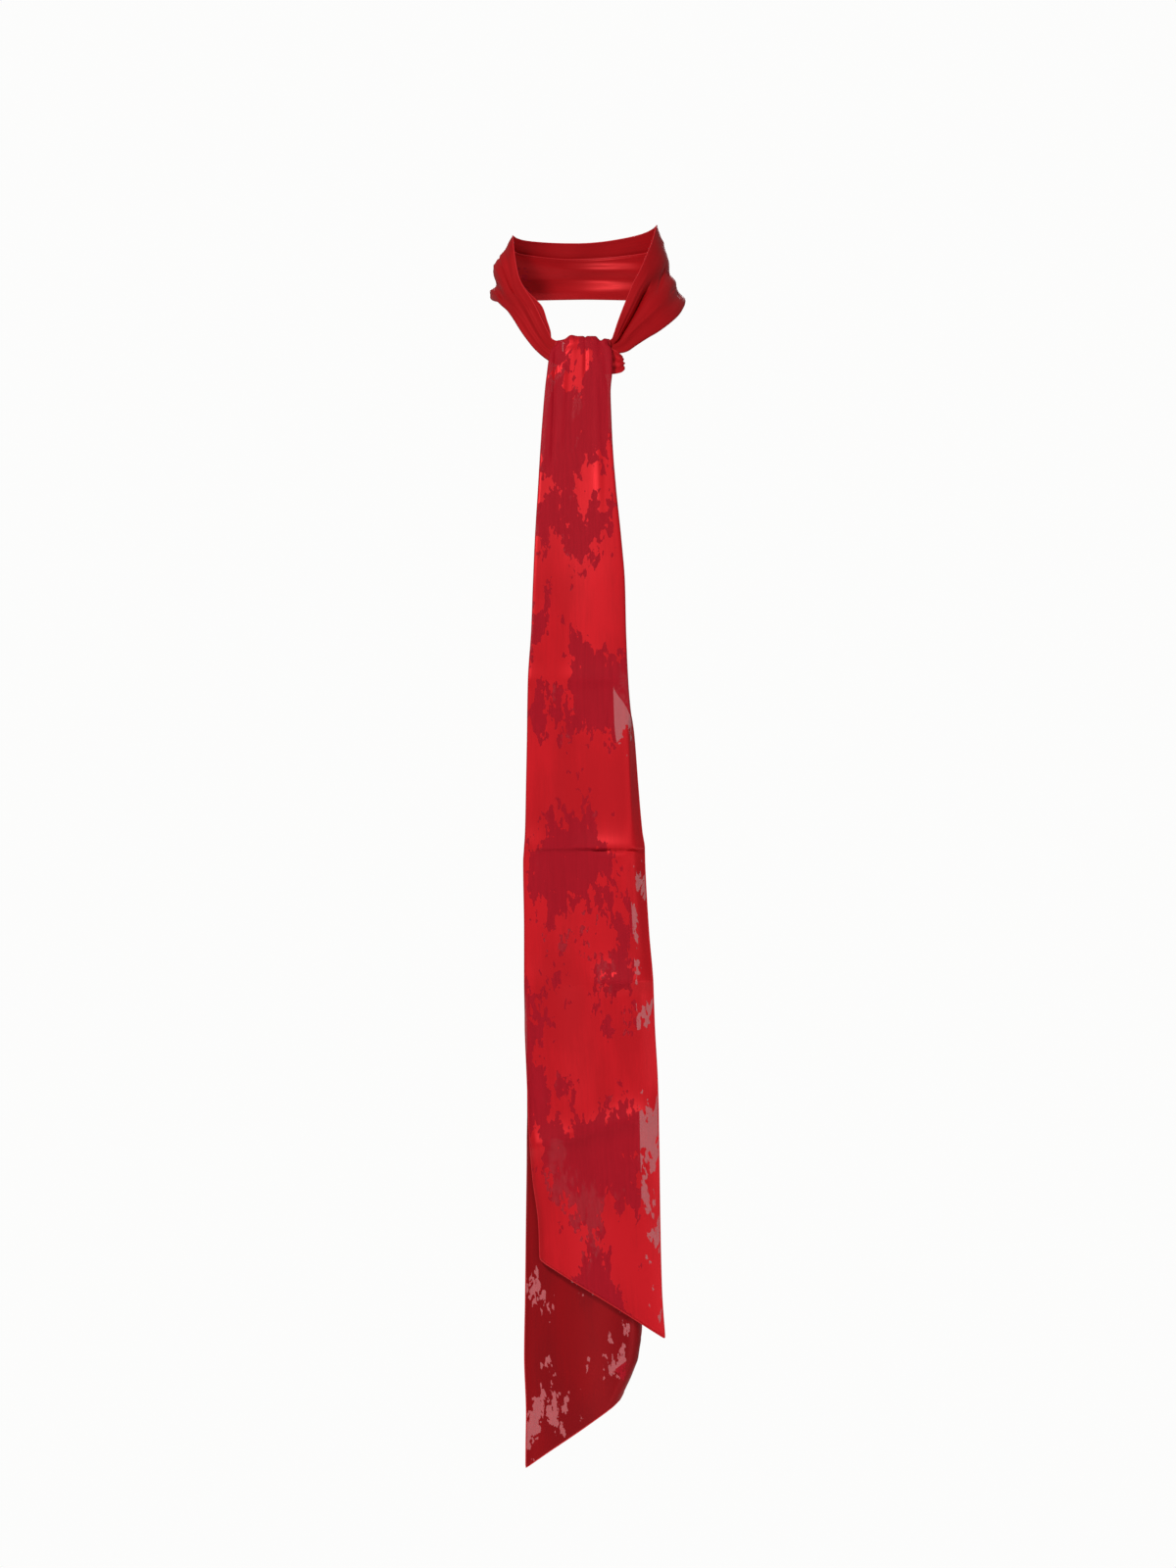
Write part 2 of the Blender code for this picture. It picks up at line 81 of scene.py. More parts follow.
# The loop round the neck, from the hidden end of the right stretch, round the nape, to that of the left.
# top and low are its upper and lower edges. The cloth is folded lengthwise: an outer layer, a fold along
# the lower edge, and an inner layer that rises to the share "inner" of the height.
LOOP = table(
    "top_x top_y top_z low_x low_y low_z inner bulge at_1 fold_1 at_2 fold_2",
    (
        (12.3, -87.0, -66.5, 12.3, -90.0, -84.0, 0.60, 0.0, 0.40, 0.4, 0.75, 0.2),
        (22.5, -86.0, -64.5, 25.0, -88.8, -77.0, 0.60, 0.2, 0.38, 0.8, 0.75, 0.3),
        (25.5, -78.5, -58.0, 36.8, -85.0, -73.5, 0.70, 1.0, 0.35, 2.2, 0.75, 0.8),
        (28.2, -71.5, -49.0, 45.0, -79.5, -67.5, 0.80, 1.6, 0.31, 3.4, 0.75, 1.0),
        (31.9, -64.0, -38.0, 54.5, -73.0, -60.5, 0.85, 2.2, 0.30, 4.2, 0.75, 1.0),
        (37.1, -57.0, -24.0, 65.0, -65.0, -53.5, 0.85, 2.6, 0.30, 4.5, 0.75, 1.0),
        (42.4, -50.0, -10.0, 75.5, -55.5, -44.7, 0.85, 3.0, 0.30, 4.5, 0.76, 1.2),
        (48.6, -42.0, 2.5, 83.5, -44.0, -36.0, 0.85, 2.8, 0.34, 4.0, 0.78, 1.8),
        (54.8, -32.0, 18.0, 88.5, -30.0, -27.0, 0.82, 1.6, 0.42, 3.8, 0.80, 2.6),
        (60.5, -20.0, 34.0, 90.5, -14.0, -20.0, 0.80, 0.4, 0.52, 3.6, 0.83, 3.4),
        (63.4, -7.0, 47.0, 90.5, 4.0, -16.5, 0.78, -0.6, 0.62, 3.8, 0.84, 3.6),
        (64.4, 8.0, 51.0, 88.0, 20.0, -14.5, 0.76, -0.2, 0.62, 3.4, 0.84, 3.4),
        (62.6, 22.5, 51.0, 82.5, 36.0, -13.0, 0.74, 0.8, 0.60, 3.0, 0.83, 2.8),
        (56.5, 36.5, 49.5, 72.5, 49.5, -11.0, 0.72, 1.8, 0.57, 2.8, 0.82, 2.4),
        (46.0, 49.0, 48.0, 58.0, 61.0, -9.0, 0.72, 2.4, 0.54, 2.8, 0.82, 2.2),
        (32.0, 58.0, 46.5, 39.5, 68.5, -7.5, 0.72, 2.6, 0.50, 3.2, 0.83, 2.2),
        (16.0, 64.0, 45.0, 19.5, 73.0, -6.5, 0.72, 2.6, 0.48, 3.4, 0.84, 2.4),
        (0.0, 66.0, 44.0, 0.0, 75.0, -6.0, 0.72, 2.6, 0.46, 3.0, 0.84, 2.6),
        (-16.0, 64.0, 43.5, -19.5, 73.0, -6.5, 0.72, 2.8, 0.44, 2.6, 0.84, 2.6),
        (-32.0, 58.0, 43.0, -39.0, 68.0, -7.5, 0.74, 3.0, 0.40, 2.2, 0.85, 2.6),
        (-45.0, 49.0, 42.5, -56.5, 60.0, -9.0, 0.76, 3.6, 0.36, 1.8, 0.86, 2.6),
        (-56.0, 37.0, 42.0, -70.5, 48.5, -11.0, 0.78, 4.4, 0.32, 1.4, 0.87, 3.0),
        (-62.5, 23.0, 42.0, -79.5, 35.0, -13.5, 0.80, 4.4, 0.26, 1.6, 0.83, 3.4),
        (-64.6, 8.0, 41.5, -84.4, 19.0, -14.5, 0.82, 5.6, 0.24, 1.8, 0.79, 4.4),
        (-64.6, -5.0, 38.5, -85.2, 3.0, -15.2, 0.84, 6.4, 0.22, 1.8, 0.77, 5.0),
        (-63.8, -14.0, 28.0, -83.6, -11.0, -16.4, 0.86, 5.8, 0.24, 1.8, 0.77, 4.4),
        (-62.0, -22.0, 14.0, -79.5, -24.0, -21.0, 0.90, 4.0, 0.28, 1.8, 0.78, 3.0),
        (-58.6, -31.0, -2.0, -74.8, -35.5, -26.5, 0.96, 2.8, 0.32, 1.8, 0.80, 2.0),
        (-52.8, -40.5, -14.5, -68.8, -45.5, -33.0, 1.04, 2.2, 0.34, 1.6, 0.76, 1.4),
        (-46.8, -48.5, -24.5, -63.0, -54.0, -42.0, 1.14, 1.8, 0.36, 1.4, 0.72, 1.2),
        (-42.0, -54.5, -34.0, -57.5, -61.5, -51.5, 1.24, 1.6, 0.38, 1.4, 0.70, 1.2),
        (-37.2, -61.5, -45.0, -51.3, -69.0, -61.0, 1.20, 1.4, 0.40, 1.4, 0.70, 1.2),
        (-32.2, -69.5, -55.5, -43.2, -77.5, -71.6, 1.10, 1.0, 0.42, 1.2, 0.70, 1.0),
        (-28.5, -77.5, -63.0, -32.8, -87.0, -81.4, 0.80, 0.6, 0.42, 0.8, 0.70, 0.8),
        (-19.8, -88.5, -67.0, -19.8, -92.5, -88.5, 0.60, 0.2, 0.42, 0.5, 0.70, 0.4),
    ),
)

# Creases of the loop. Along it in rows of the table, and down it as a share of the height, from the top.
# Their reach to either side and the height that they stand are in millimetres.
LOOP_CREASES = table(
    "from_along from_down to_along to_down reach_up reach_down stand fade",
    (
        (1.0, 0.35, 7.4, 0.26, 1.2, 3.6, -4.6, 1.6),
        (1.0, 0.29, 7.4, 0.20, 3.0, 1.2, 1.0, 1.6),
        (1.8, 0.18, 7.5, 0.14, 3.0, 3.6, 0.9, 0.8),
        (6.4, 0.46, 9.4, 0.40, 3.0, 3.6, -1.2, 0.9),
        (2.4, 0.58, 6.6, 0.66, 3.5, 3.0, 0.5, 0.9),
        (7.4, 0.66, 9.2, 0.74, 3.0, 2.4, -0.9, 0.5),
        (8.2, 0.88, 10.4, 0.66, 3.2, 2.8, -1.0, 0.5),
        (9.6, 0.20, 13.0, 0.30, 4.0, 4.0, 0.9, 0.9),
        (12.0, 0.44, 19.0, 0.34, 4.0, 5.0, 1.1, 1.2),
        (15.0, 0.66, 22.0, 0.62, 3.5, 4.0, 0.9, 1.2),
        (20.0, 0.90, 27.2, 0.89, 5.0, 4.4, 1.6, 1.0),
        (21.5, 0.50, 26.5, 0.52, 2.6, 3.4, 0.9, 0.9),
        (22.5, 0.36, 28.0, 0.42, 1.6, 2.6, -1.4, 0.8),
        (26.4, 0.30, 30.0, 0.24, 2.8, 3.2, 0.4, 0.8),
    ),
)
LOOP_ROW_LENGTH = 12.0
LOOP_HEIGHT = 58.0

# The crossing that holds the knot: under the front tail, round the right side and back behind it
WRAP = table(
    "top_x top_y top_z low_x low_y low_z bulge at_1 fold_1 at_2 fold_2",
    (
        (-18.9, -89.2, -69.0, -18.9, -93.0, -89.0, 0.2, 0.30, 0.4, 0.65, 0.4),
        (0.0, -91.5, -70.0, 2.0, -96.0, -94.0, 0.4, 0.30, 0.6, 0.65, 0.6),
        (16.0, -91.5, -71.5, 18.0, -95.7, -95.2, 0.6, 0.32, 0.8, 0.68, 0.8),
        (24.5, -90.7, -73.5, 26.2, -94.7, -94.6, 0.9, 0.34, 1.2, 0.70, 1.2),
        (29.8, -89.4, -77.0, 31.6, -92.4, -93.0, 1.2, 0.36, 1.4, 0.72, 1.4),
        (32.6, -86.0, -79.2, 34.4, -88.8, -90.0, 1.4, 0.38, 1.2, 0.72, 1.2),
        (29.8, -83.2, -77.8, 31.4, -86.0, -91.5, 0.8, 0.38, 0.6, 0.72, 0.6),
        (24.0, -81.9, -74.5, 25.6, -85.0, -93.0, 0.4, 0.38, 0.4, 0.72, 0.4),
        (12.0, -81.2, -72.2, 13.0, -85.0, -93.0, 0.2, 0.38, 0.4, 0.72, 0.4),
        (-14.0, -81.2, -72.2, -14.0, -85.0, -93.0, 0.0, 0.38, 0.4, 0.72, 0.4),
    ),
)
WRAP_ROW_LENGTH = 8.0
WRAP_HEIGHT = 18.0
WRAP_CREASES = table(
    "from_along from_down to_along to_down reach_up reach_down stand fade",
    (
        (2.2, 0.16, 5.6, 0.20, 1.6, 1.8, 0.2, 0.6),
        (2.4, 0.52, 5.8, 0.54, 1.8, 1.8, 0.3, 0.6),
        (2.2, 0.88, 5.6, 0.86, 1.6, 1.4, 0.2, 0.6),
    ),
)

# The front tail below the knot. left and right are its edges as seen from the front, depth is its Y.
# Beyond each edge a margin of the cloth is turned behind, through the angle beside it.
# drop lowers the right side of the row, for the slanting end.
FRONT_TAIL = table(
    "height depth left right left_margin left_angle right_margin right_angle right_bend drop",
    (
        (-69.0, -96.5, -25.5, 21.4, 2.0, 60, 2.0, 60, 4.8, 0),
        (-75.0, -99.0, -29.8, 23.2, 4.0, 165, 4.0, 165, 4.8, 0),
        (-81.0, -100.2, -31.2, 23.6, 9.0, 180, 9.0, 180, 4.8, 0),
        (-92.0, -102.2, -32.6, 23.6, 17.0, 180, 17.0, 180, 4.8, 0),
        (-112.0, -106.7, -34.8, 22.1, 23.5, 180, 23.5, 180, 4.8, 0),
        (-130.0, -111.5, -36.2, 22.6, 23.0, 180, 22.5, 180, 4.8, 0),
        (-160.0, -120.5, -38.2, 23.8, 21.5, 180, 21.5, 180, 4.8, 0),
        (-200.0, -131.0, -40.4, 26.9, 19.0, 179, 19.5, 179, 4.8, 0),
        (-240.0, -139.0, -42.7, 30.9, 16.0, 178, 17.0, 178, 4.8, 0),
        (-280.0, -144.5, -44.3, 34.1, 14.0, 177, 14.5, 177, 4.8, 0),
        (-320.0, -147.5, -45.8, 35.0, 12.5, 176, 14.0, 176, 4.8, 0),
        (-362.0, -149.0, -48.5, 36.8, 10.0, 176, 12.0, 172, 4.8, 0),
        (-385.0, -149.3, -49.0, 38.6, 9.5, 176, 11.5, 104, 4.8, 0),
        (-409.0, -149.6, -49.3, 41.8, 9.0, 176, 11.0, 72, 4.8, 0),
        (-451.0, -149.8, -50.1, 45.1, 8.0, 175, 10.5, 60, 4.8, 0),
        (-493.0, -150.0, -51.0, 48.8, 6.5, 175, 9.5, 50, 4.8, 0),
        (-505.5, -150.0, -51.8, 50.7, 5.5, 174, 9.0, 44, 4.8, 0),
        (-518.0, -150.0, -52.6, 51.0, 5.0, 170, 8.5, 40, 5.5, 0),
        (-577.0, -150.0, -51.8, 54.3, 3.5, 150, 7.0, 32, 7.0, 0),
        (-618.0, -150.0, -51.8, 57.7, 2.5, 120, 6.0, 22, 8.0, 0),
        (-660.0, -150.0, -51.0, 59.3, 2.0, 90, 5.0, 14, 9.0, 0),
        (-702.0, -150.0, -49.3, 61.8, 2.0, 62, 5.0, 10, 10.0, 4),
        (-744.0, -150.0, -47.6, 62.9, 2.0, 50, 5.0, 8, 10.0, 14),
        (-785.0, -150.0, -44.7, 63.7, 2.5, 46, 5.0, 8, 10.0, 32),
        (-827.0, -150.0, -39.4, 65.2, 3.0, 42, 5.0, 8, 10.0, 54),
        (-856.5, -150.0, -38.4, 68.1, 3.0, 40, 5.0, 6, 10.0, 67),
    ),
)

# Where the front tail comes up from behind the crossing and falls over its top
CREST_Y = -88.5
CREST_Z = -69.0
CREST_RADIUS = 8.0
CREST_START_Z = -71.9
CREST_LEFT = -22.5
CREST_RIGHT = 20.6
CREST_START_LEFT = -16.0
CREST_START_RIGHT = 16.5
CREST_SCALLOPS = table(
    "across drop",
    ((-22.5, 4.4), (-18.0, 3.2), (-12.0, -0.4), (-6.0, 0.6), (-1.5, 0.5), (0.0, 1.6), (2.0, 0.5),
     (9.0, 0.6), (13.7, 4.6), (17.0, 2.6), (20.6, 3.2)),
)
SCALLOP_SHARE_BEHIND = 0.3
PLEAT_SHARE = 0.55
PLEAT_FADE = 28.0

# The back tail, which comes down inside the crossing and hangs behind the front one
BACK_TAIL = table(
    "height depth left right left_margin left_angle right_margin right_angle right_bend drop",
    (
        (-71.5, -87.6, -15.6, 11.4, 2.0, 30, 2.0, 30, 4.8, 0),
        (-84.0, -89.5, -15.6, 11.4, 2.0, 40, 2.0, 30, 4.8, 0),
        (-92.0, -90.9, -17.0, 14.0, 2.5, 60, 2.5, 60, 4.8, 0),
        (-98.0, -92.4, -22.0, 18.0, 4.0, 110, 4.0, 110, 4.8, 0),
        (-106.0, -95.0, -27.0, 19.5, 8.0, 150, 8.0, 150, 4.8, 0),
        (-122.0, -100.4, -31.5, 19.8, 17.0, 176, 17.0, 176, 4.8, 0),
        (-160.0, -112.4, -34.5, 21.0, 21.5, 178, 21.5, 178, 4.8, 0),
        (-200.0, -123.5, -37.5, 24.0, 20.0, 178, 20.0, 178, 4.8, 0),
        (-240.0, -131.8, -40.0, 26.5, 18.5, 177, 18.5, 177, 4.8, 0),
        (-284.0, -137.4, -42.3, 27.0, 16.5, 177, 17.5, 177, 4.8, 0),
        (-362.0, -141.2, -46.0, 24.0, 17.0, 176, 17.5, 176, 4.8, 0),
        (-400.0, -141.8, -47.3, 25.0, 15.5, 176, 17.0, 176, 4.8, 0),
        (-440.0, -142.0, -48.5, 31.0, 12.0, 176, 13.5, 176, 4.8, 0),
        (-505.5, -142.0, -50.1, 36.5, 8.0, 174, 10.5, 174, 4.8, 0),
        (-618.0, -142.0, -50.1, 42.6, 4.0, 160, 8.0, 160, 4.8, 0),
        (-700.0, -142.0, -49.4, 45.4, 3.0, 120, 5.5, 130, 5.0, 0),
        (-752.0, -142.0, -49.3, 46.8, 2.0, 90, 5.0, 100, 6.0, 0),
        (-830.0, -142.0, -50.1, 48.2, 2.0, 60, 5.0, 80, 7.0, 0),
        (-890.0, -142.0, -50.8, 48.6, 2.0, 45, 6.0, 74, 10.0, -4),
        (-940.0, -142.0, -51.6, 48.6, 2.0, 40, 7.0, 84, 16.0, -24),
        (-990.0, -142.0, -50.0, 45.6, 2.0, 34, 7.0, 100, 22.0, -52),
        (-1012.0, -142.0, -50.3, 41.0, 2.0, 32, 7.0, 112, 28.0, -64),
        (-1036.0, -142.0, -50.5, 33.5, 2.0, 30, 8.0, 125, 36.0, -78),
    ),
)

# Creases of the hanging tails, in millimetres across and down: crosswise folds from storage, the tucks
# under the sharpest of them and the upright pleats at its right, a slanting fold low down, and soft lines
# that run down from the knot.
TAIL_CREASES = table(
    "from_along from_down to_along to_down reach_up reach_down stand fade",
    (
        (-90.0, 362.0, 90.0, 362.0, 16.0, 9.0, 1.4, 8.0),
        (-90.0, 505.5, 90.0, 505.5, 24.0, 4.0, 2.2, 8.0),
        (-16.0, 505.6, 90.0, 505.2, 12.0, 1.5, 1.2, 14.0),
        (-8.0, 507.4, 60.0, 506.4, 1.0, 2.2, -1.0, 10.0),
        (5.0, 507.4, 21.0, 507.2, 1.0, 2.6, -1.9, 4.0),
        (34.0, 507.0, 47.0, 506.6, 1.0, 2.6, -1.7, 4.0),
        (8.0, 514.0, 44.0, 512.0, 5.0, 8.0, 0.7, 12.0),
        (-90.0, 624.0, 90.0, 619.0, 30.0, 16.0, 1.8, 40.0),
        (0.0, 622.0, 90.0, 617.0, 26.0, 12.0, 3.0, 24.0),
        (4.0, 620.5, 90.0, 616.5, 9.0, 5.0, 1.4, 20.0),
        (-58.0, 765.0, 76.0, 726.0, 26.0, 16.0, 4.4, 20.0),
        (-58.0, 765.0, 76.0, 726.0, 9.0, 5.0, 1.4, 20.0),
        (36.0, 385.0, 40.5, 505.0, 1.4, 4.0, 1.0, 30.0),
        (33.0, 510.0, 39.0, 585.0, 2.0, 4.5, 0.9, 20.0),
        (-40.0, 779.0, -12.0, 785.0, 5.0, 5.0, 1.0, 10.0),
        (-25.5, 70.0, -28.5, 178.0, 2.2, 1.8, -2.0, 14.0),
        (-17.0, 76.0, -22.0, 170.0, 4.0, 5.0, 0.6, 20.0),
        (1.0, 66.0, 0.0, 104.0, 2.0, 2.0, -0.9, 14.0),
        (9.0, 84.0, 13.0, 230.0, 5.0, 6.0, 0.5, 40.0),
        (16.0, 66.0, 20.0, 118.0, 2.4, 2.8, -0.8, 16.0),
    ),
)

# How steeply a crease falls off to either side
CREASE_FALL = 3.0

# How far down the crosswise folds lie, where the rows of points stand closer
CROSSWISE_CREASES = (362.0, 505.5, 621.0)

# Soft lengthwise waves of the hanging cloth: how deep, how wide, and where they begin and are full
WAVE_DEPTH = 1.6
WAVE_SPAN = 74.0
WAVE_DRIFT = 0.006
WAVE_FROM = -150.0
WAVE_FULL = -420.0

# Small unevenness of soft cloth, across and along it, with a seed for each tail
RIPPLE_DEPTH = 0.45
RIPPLE_ACROSS = 22.0
RIPPLE_ALONG = 55.0
FRONT_TAIL_SEED = 1.5
BACK_TAIL_SEED = 7.5

# The rolled hem and its stitches. Their place is given in hem radii, into the cloth and out of its face.
HEM_RADIUS = 0.55 * MM
HEM_STEP = 2.5 * MM
HEM_SIDES = 6
STITCH_SPACING = 3.6 * MM
STITCH_LENGTH = 1.3 * MM
STITCH_RADIUS = 0.12 * MM
STITCH_SIDES = 5
STITCH_INWARD = 1.1
STITCH_OUTWARD = 0.5
STITCH_RUN = 0.8
STITCH_SLANT = 0.6

# How far along the front tail its crest lies, behind which the cloth is nearly whole satin
CREST_ALONG = 0.014
CREST_BLEND = 0.003
CREST_PLAIN = 2

# How far from the middle the design thins out towards the edges of the cloth, and by how much
PLAIN_EDGE_FROM = 0.036
PLAIN_EDGE_FULL = 0.054
PLAIN_EDGE = 0.05

# How far along the cloth the design of its start fades out, and that of its end comes in
START_FULL = 0.07
START_GONE = 0.18
END_FROM = 0.55
END_FULL = 0.80

# The burnt-out design: how large its broad patches, brushed strokes and ragged edges are across and along
# the cloth, how far they turn, and how much they count. The satin ends and the ground is whole at the two
# levels.
PATCH_SIZE = (0.048, 0.080)
PATCH_DETAIL = 1.5
STROKE_SIZE = (0.0090, 0.0210)
STROKE_TURN = 0.2
STROKE_SHARE = 0.55
RAGGED_SIZE = (0.0034, 0.0062)
RAGGED_TURN = -0.3
RAGGED_SHARE = 0.26
DESIGN_DETAIL = 2.0
DESIGN_ROUGHNESS = 0.6
SATIN_LEVEL = 0.518
GROUND_LEVEL = 0.530

# The weave: its shading, threads, picks and slubs, across and along the cloth
SHADE_SIZE = (0.035, 0.10)
THREAD_SIZE = (0.0006, 0.010)
PICK_SIZE = (0.010, 0.0006)
SLUB_SIZE = (0.0022, 0.045)
WEAVE_DETAIL = 2.0
SATIN_SLUBS = 0.25
SATIN_THREADS = 0.30
SHEER_THREADS = 0.5
SATIN_TONES = (0.30, 0.70)
SHEER_TONES = (0.25, 0.75)
WEAVE_STRENGTH = 0.12
WEAVE_DEPTH = 0.0002

# The finish of the silk: the sheer ground is less lustrous, rougher and partly clear
SILK_IOR = 1.45
SILK_SPECULAR = 0.15
SATIN_LUSTRE = 0.25
SATIN_ROUGHNESS = 0.46
SHEER_ROUGHER = 0.22
THREAD_ROUGHER = 0.10
SHEER_CLEAR = 0.31

# The finish of the hem and its thread
HEM_SPECULAR = 0.35
HEM_GRAIN = 900.0
HEM_ROUGHNESS = 0.42
HEM_GRAIN_ROUGHER = 0.15
HEM_STRENGTH = 0.3
THREAD_IOR = 1.5
THREAD_GRAIN = 3000.0
THREAD_ROUGHNESS = 0.45
THREAD_GRAIN_ROUGHER = 0.2

# Colours, as linear values. The deep tone of each pair is the darker end of its random mottle.
SATIN_RED = (0.62, 0.010, 0.017, 1.0)
SATIN_DEEP = (0.52, 0.008, 0.014, 1.0)
# The loop's pair is painted shade: the same satin painted darker, for the shade that falls on the bands round
# the neck.
LOOP_PAINTED_SHADE_RED = (0.47, 0.007, 0.011, 1.0)
LOOP_PAINTED_SHADE_DEEP = (0.39, 0.006, 0.009, 1.0)
# The back tail's pair is painted shade: its satin painted darker, for the shade and weaker light it hangs in
# behind and below the front tail.
BACK_PAINTED_SHADE_RED = (0.30, 0.003, 0.006, 1.0)
BACK_PAINTED_SHADE_DEEP = (0.25, 0.003, 0.006, 1.0)
SHEER_RED = (0.50, 0.007, 0.020, 1.0)
SHEER_DEEP = (0.45, 0.006, 0.018, 1.0)
THREAD_RED = (0.42, 0.005, 0.010, 1.0)

# The studio. The surround lights the cloth less than it shows to the camera.
FLOOR_PALE = (0.90, 0.90, 0.89, 1.0)
FLOOR_ROUGHNESS = 0.9
FLOOR_GLOW = 0.35
FLOOR_REACH = 1.45
FLOOR_LEVEL = -1.5
BACKGROUND_PALE = (0.975, 0.975, 0.97, 1.0)
BACKGROUND_LIGHT = 0.26
WARM_WHITE = (1.0, 0.97, 0.95)
COOL_WHITE = (0.97, 0.98, 1.0)

# The camera: its place and lens, which are in metres and millimetres
CAMERA_PLACE = (0.0026, -3.0, -0.4513)
LENS_LENGTH = 76.8
SENSOR_WIDTH = 36.0
FARTHEST_SEEN = 50.0


def hermite(start, end, slope_in, slope_out, part):
    """A smooth curve from start to end with a slope at either end."""
    square = part * part
    cube = square * part
    return (
        (2 * cube - 3 * square + 1) * start
        + (cube - 2 * square + part) * slope_in
        + (3 * square - 2 * cube) * end
        + (cube - square) * slope_out
    )


def smooth_step(value):
    """Rises softly from 0 to 1."""
    share = np.clip(value, 0, 1)
    return share * share * (3 - 2 * share)


def smooth_row(rows, place):
    """Reads every column of a table at one place between its rows, on curves through the rows."""
    last = len(rows["bulge"]) - 1
    row = int(min(max(np.floor(place), 0), last - 1))
    part = place - row
    read = {}
    for name, values in rows.items():
        before = values[max(row - 1, 0)]
        after = values[min(row + 2, last)]
        start = values[row]
        end = values[row + 1]
        read[name] = hermite(start, end, (end - before) / 2, (after - start) / 2, part)
    return read


def steady_curve(marks, values, at):
    """Reads a column at places between its marks, on a curve that never swings past its rows."""
    steps = np.diff(marks)
    slopes = np.diff(values) / steps
    product = slopes[:-1] * slopes[1:]
    together = np.where(product > 0, slopes[:-1] + slopes[1:], 1.0)
    inner = np.where(product > 0, 2 * product / together, 0.0)
    tangents = np.concatenate((slopes[:1], inner, slopes[-1:]))
    row = np.clip(np.searchsorted(marks, at) - 1, 0, len(steps) - 1)
    part = (at - marks[row]) / steps[row]
    slope_in = tangents[row] * steps[row]
    slope_out = tangents[row + 1] * steps[row]
    return hermite(values[row], values[row + 1], slope_in, slope_out, part)


def row_at_height(rows, height):
    """Reads every column of a tail's table at one height."""
    down = -rows["height"]
    return {name: float(steady_curve(down, values, -height)) for name, values in rows.items()}


def crease_lift(creases, along, down):
    """How far the creases lift the cloth, at places in the same units as their table."""
    along = np.asarray(along, dtype=float)
    down = np.asarray(down, dtype=float)
    lift = np.zeros(np.broadcast(along, down).shape)
    for crease in zip(*creases.values()):
        from_along, from_down, to_along, to_down, reach_up, reach_down, stand, fade = crease
        length = np.hypot(to_along - from_along, to_down - from_down)
        run = (to_along - from_along) / length
        fall = (to_down - from_down) / length
        travelled = (along - from_along) * run + (down - from_down) * fall
        below = (down - from_down) * run - (along - from_along) * fall
        reach = np.where(below < 0, reach_up, reach_down)
        ends = smooth_step(travelled / fade) * smooth_step((length - travelled) / fade)
        lift = lift + stand * np.exp(-CREASE_FALL * (below / reach) ** 2) * ends
    return lift


def in_millimetres(creases, row_length, height):
    """A band's creases, with their places turned from rows and shares into millimetres."""
    scaled = dict(creases)
    for name in ("from_along", "to_along", "fade"):
        scaled[name] = creases[name] * row_length
    for name in ("from_down", "to_down"):
        scaled[name] = creases[name] * height
    return scaled


def ripple(across, along, seed):
    """Small soft unevenness of the cloth at one place."""
    place = Vector((across / RIPPLE_ACROSS, along / RIPPLE_ALONG, seed))
    return RIPPLE_DEPTH * noise.noise(place)


def edge_points(row):
    """Gives the upper and lower edge of one row of a band."""
    top = np.array((row["top_x"], row["top_y"], row["top_z"]))
    low = np.array((row["low_x"], row["low_y"], row["low_z"]))
    return top, low


def trough(share, at, depth):
    """A soft lengthwise trough across a band, negative where it sinks in."""
    return -depth * np.exp(-(((share - at) / TROUGH_WIDTH) ** 2))


def band_offset(row, shares, place, creases, row_length, height):
    """How far a band's outer layer stands out from the straight line between its edges, at each share."""
    offset = row["bulge"] * np.sin(np.pi * shares)
    offset += trough(shares, row["at_1"], row["fold_1"])
    offset += trough(shares, row["at_2"], row["fold_2"])
    offset += crease_lift(creases, place * row_length, shares * height)
    uneven = np.array([ripple(share * height, place * row_length, row_length) for share in shares])
    return offset + np.sin(np.pi * np.clip(shares, 0, 1)) * uneven


def band_frame(rows, place):
    """Gives the edges of a band at a place along it, and the direction out of its face."""
    top, low = edge_points(smooth_row(rows, place))
    last = len(rows["bulge"]) - 1
    earlier = sum(edge_points(smooth_row(rows, max(place - SLOPE_STEP, 0))))
    later = sum(edge_points(smooth_row(rows, min(place + SLOPE_STEP, last))))
    outward = np.cross(low - top, later - earlier)
    return top, low, outward / np.linalg.norm(outward)


def loop_row(place, creases):
    """One row of points of the loop, from its inner layer's edge, round the fold, to its outer edge."""
    row = smooth_row(LOOP, place)
    top, low, outward = band_frame(LOOP, place)
    height = np.linalg.norm(low - top)
    down = (low - top) / height
    turn_radius = BAND_LAYER_GAP / 2
    straight = height - turn_radius
    turn_share = straight / height

    def offsets(shares):
        return band_offset(row, shares, place, creases, LOOP_ROW_LENGTH, LOOP_HEIGHT)

    inner = np.linspace(1 - row["inner"], turn_share, INNER_STEPS + 1)[:-1]
    outer = np.linspace(turn_share, 0, OUTER_STEPS + 1)
    inner_offsets = offsets(np.clip(inner, 0, 1)) - BAND_LAYER_GAP
    outer_offsets = offsets(outer)
    turn_centre = top + down * straight + outward * (outer_offsets[0] - turn_radius)
    points = [top + down * height * share + outward * lift for share, lift in zip(inner, inner_offsets)]
    for angle in np.linspace(-np.pi / 2, np.pi / 2, TURN_STEPS + 1)[:-1]:
        points.append(turn_centre + turn_radius * (down * np.cos(angle) + outward * np.sin(angle)))
    points += [top + down * height * share + outward * lift for share, lift in zip(outer, outer_offsets)]
    return points


def loop_grid():
    """Points of the whole loop round the neck."""
    creases = in_millimetres(LOOP_CREASES, LOOP_ROW_LENGTH, LOOP_HEIGHT)
    last = len(LOOP["inner"]) - 1
    return np.array([loop_row(place, creases) for place in np.linspace(0, last, LOOP_STEPS + 1)])


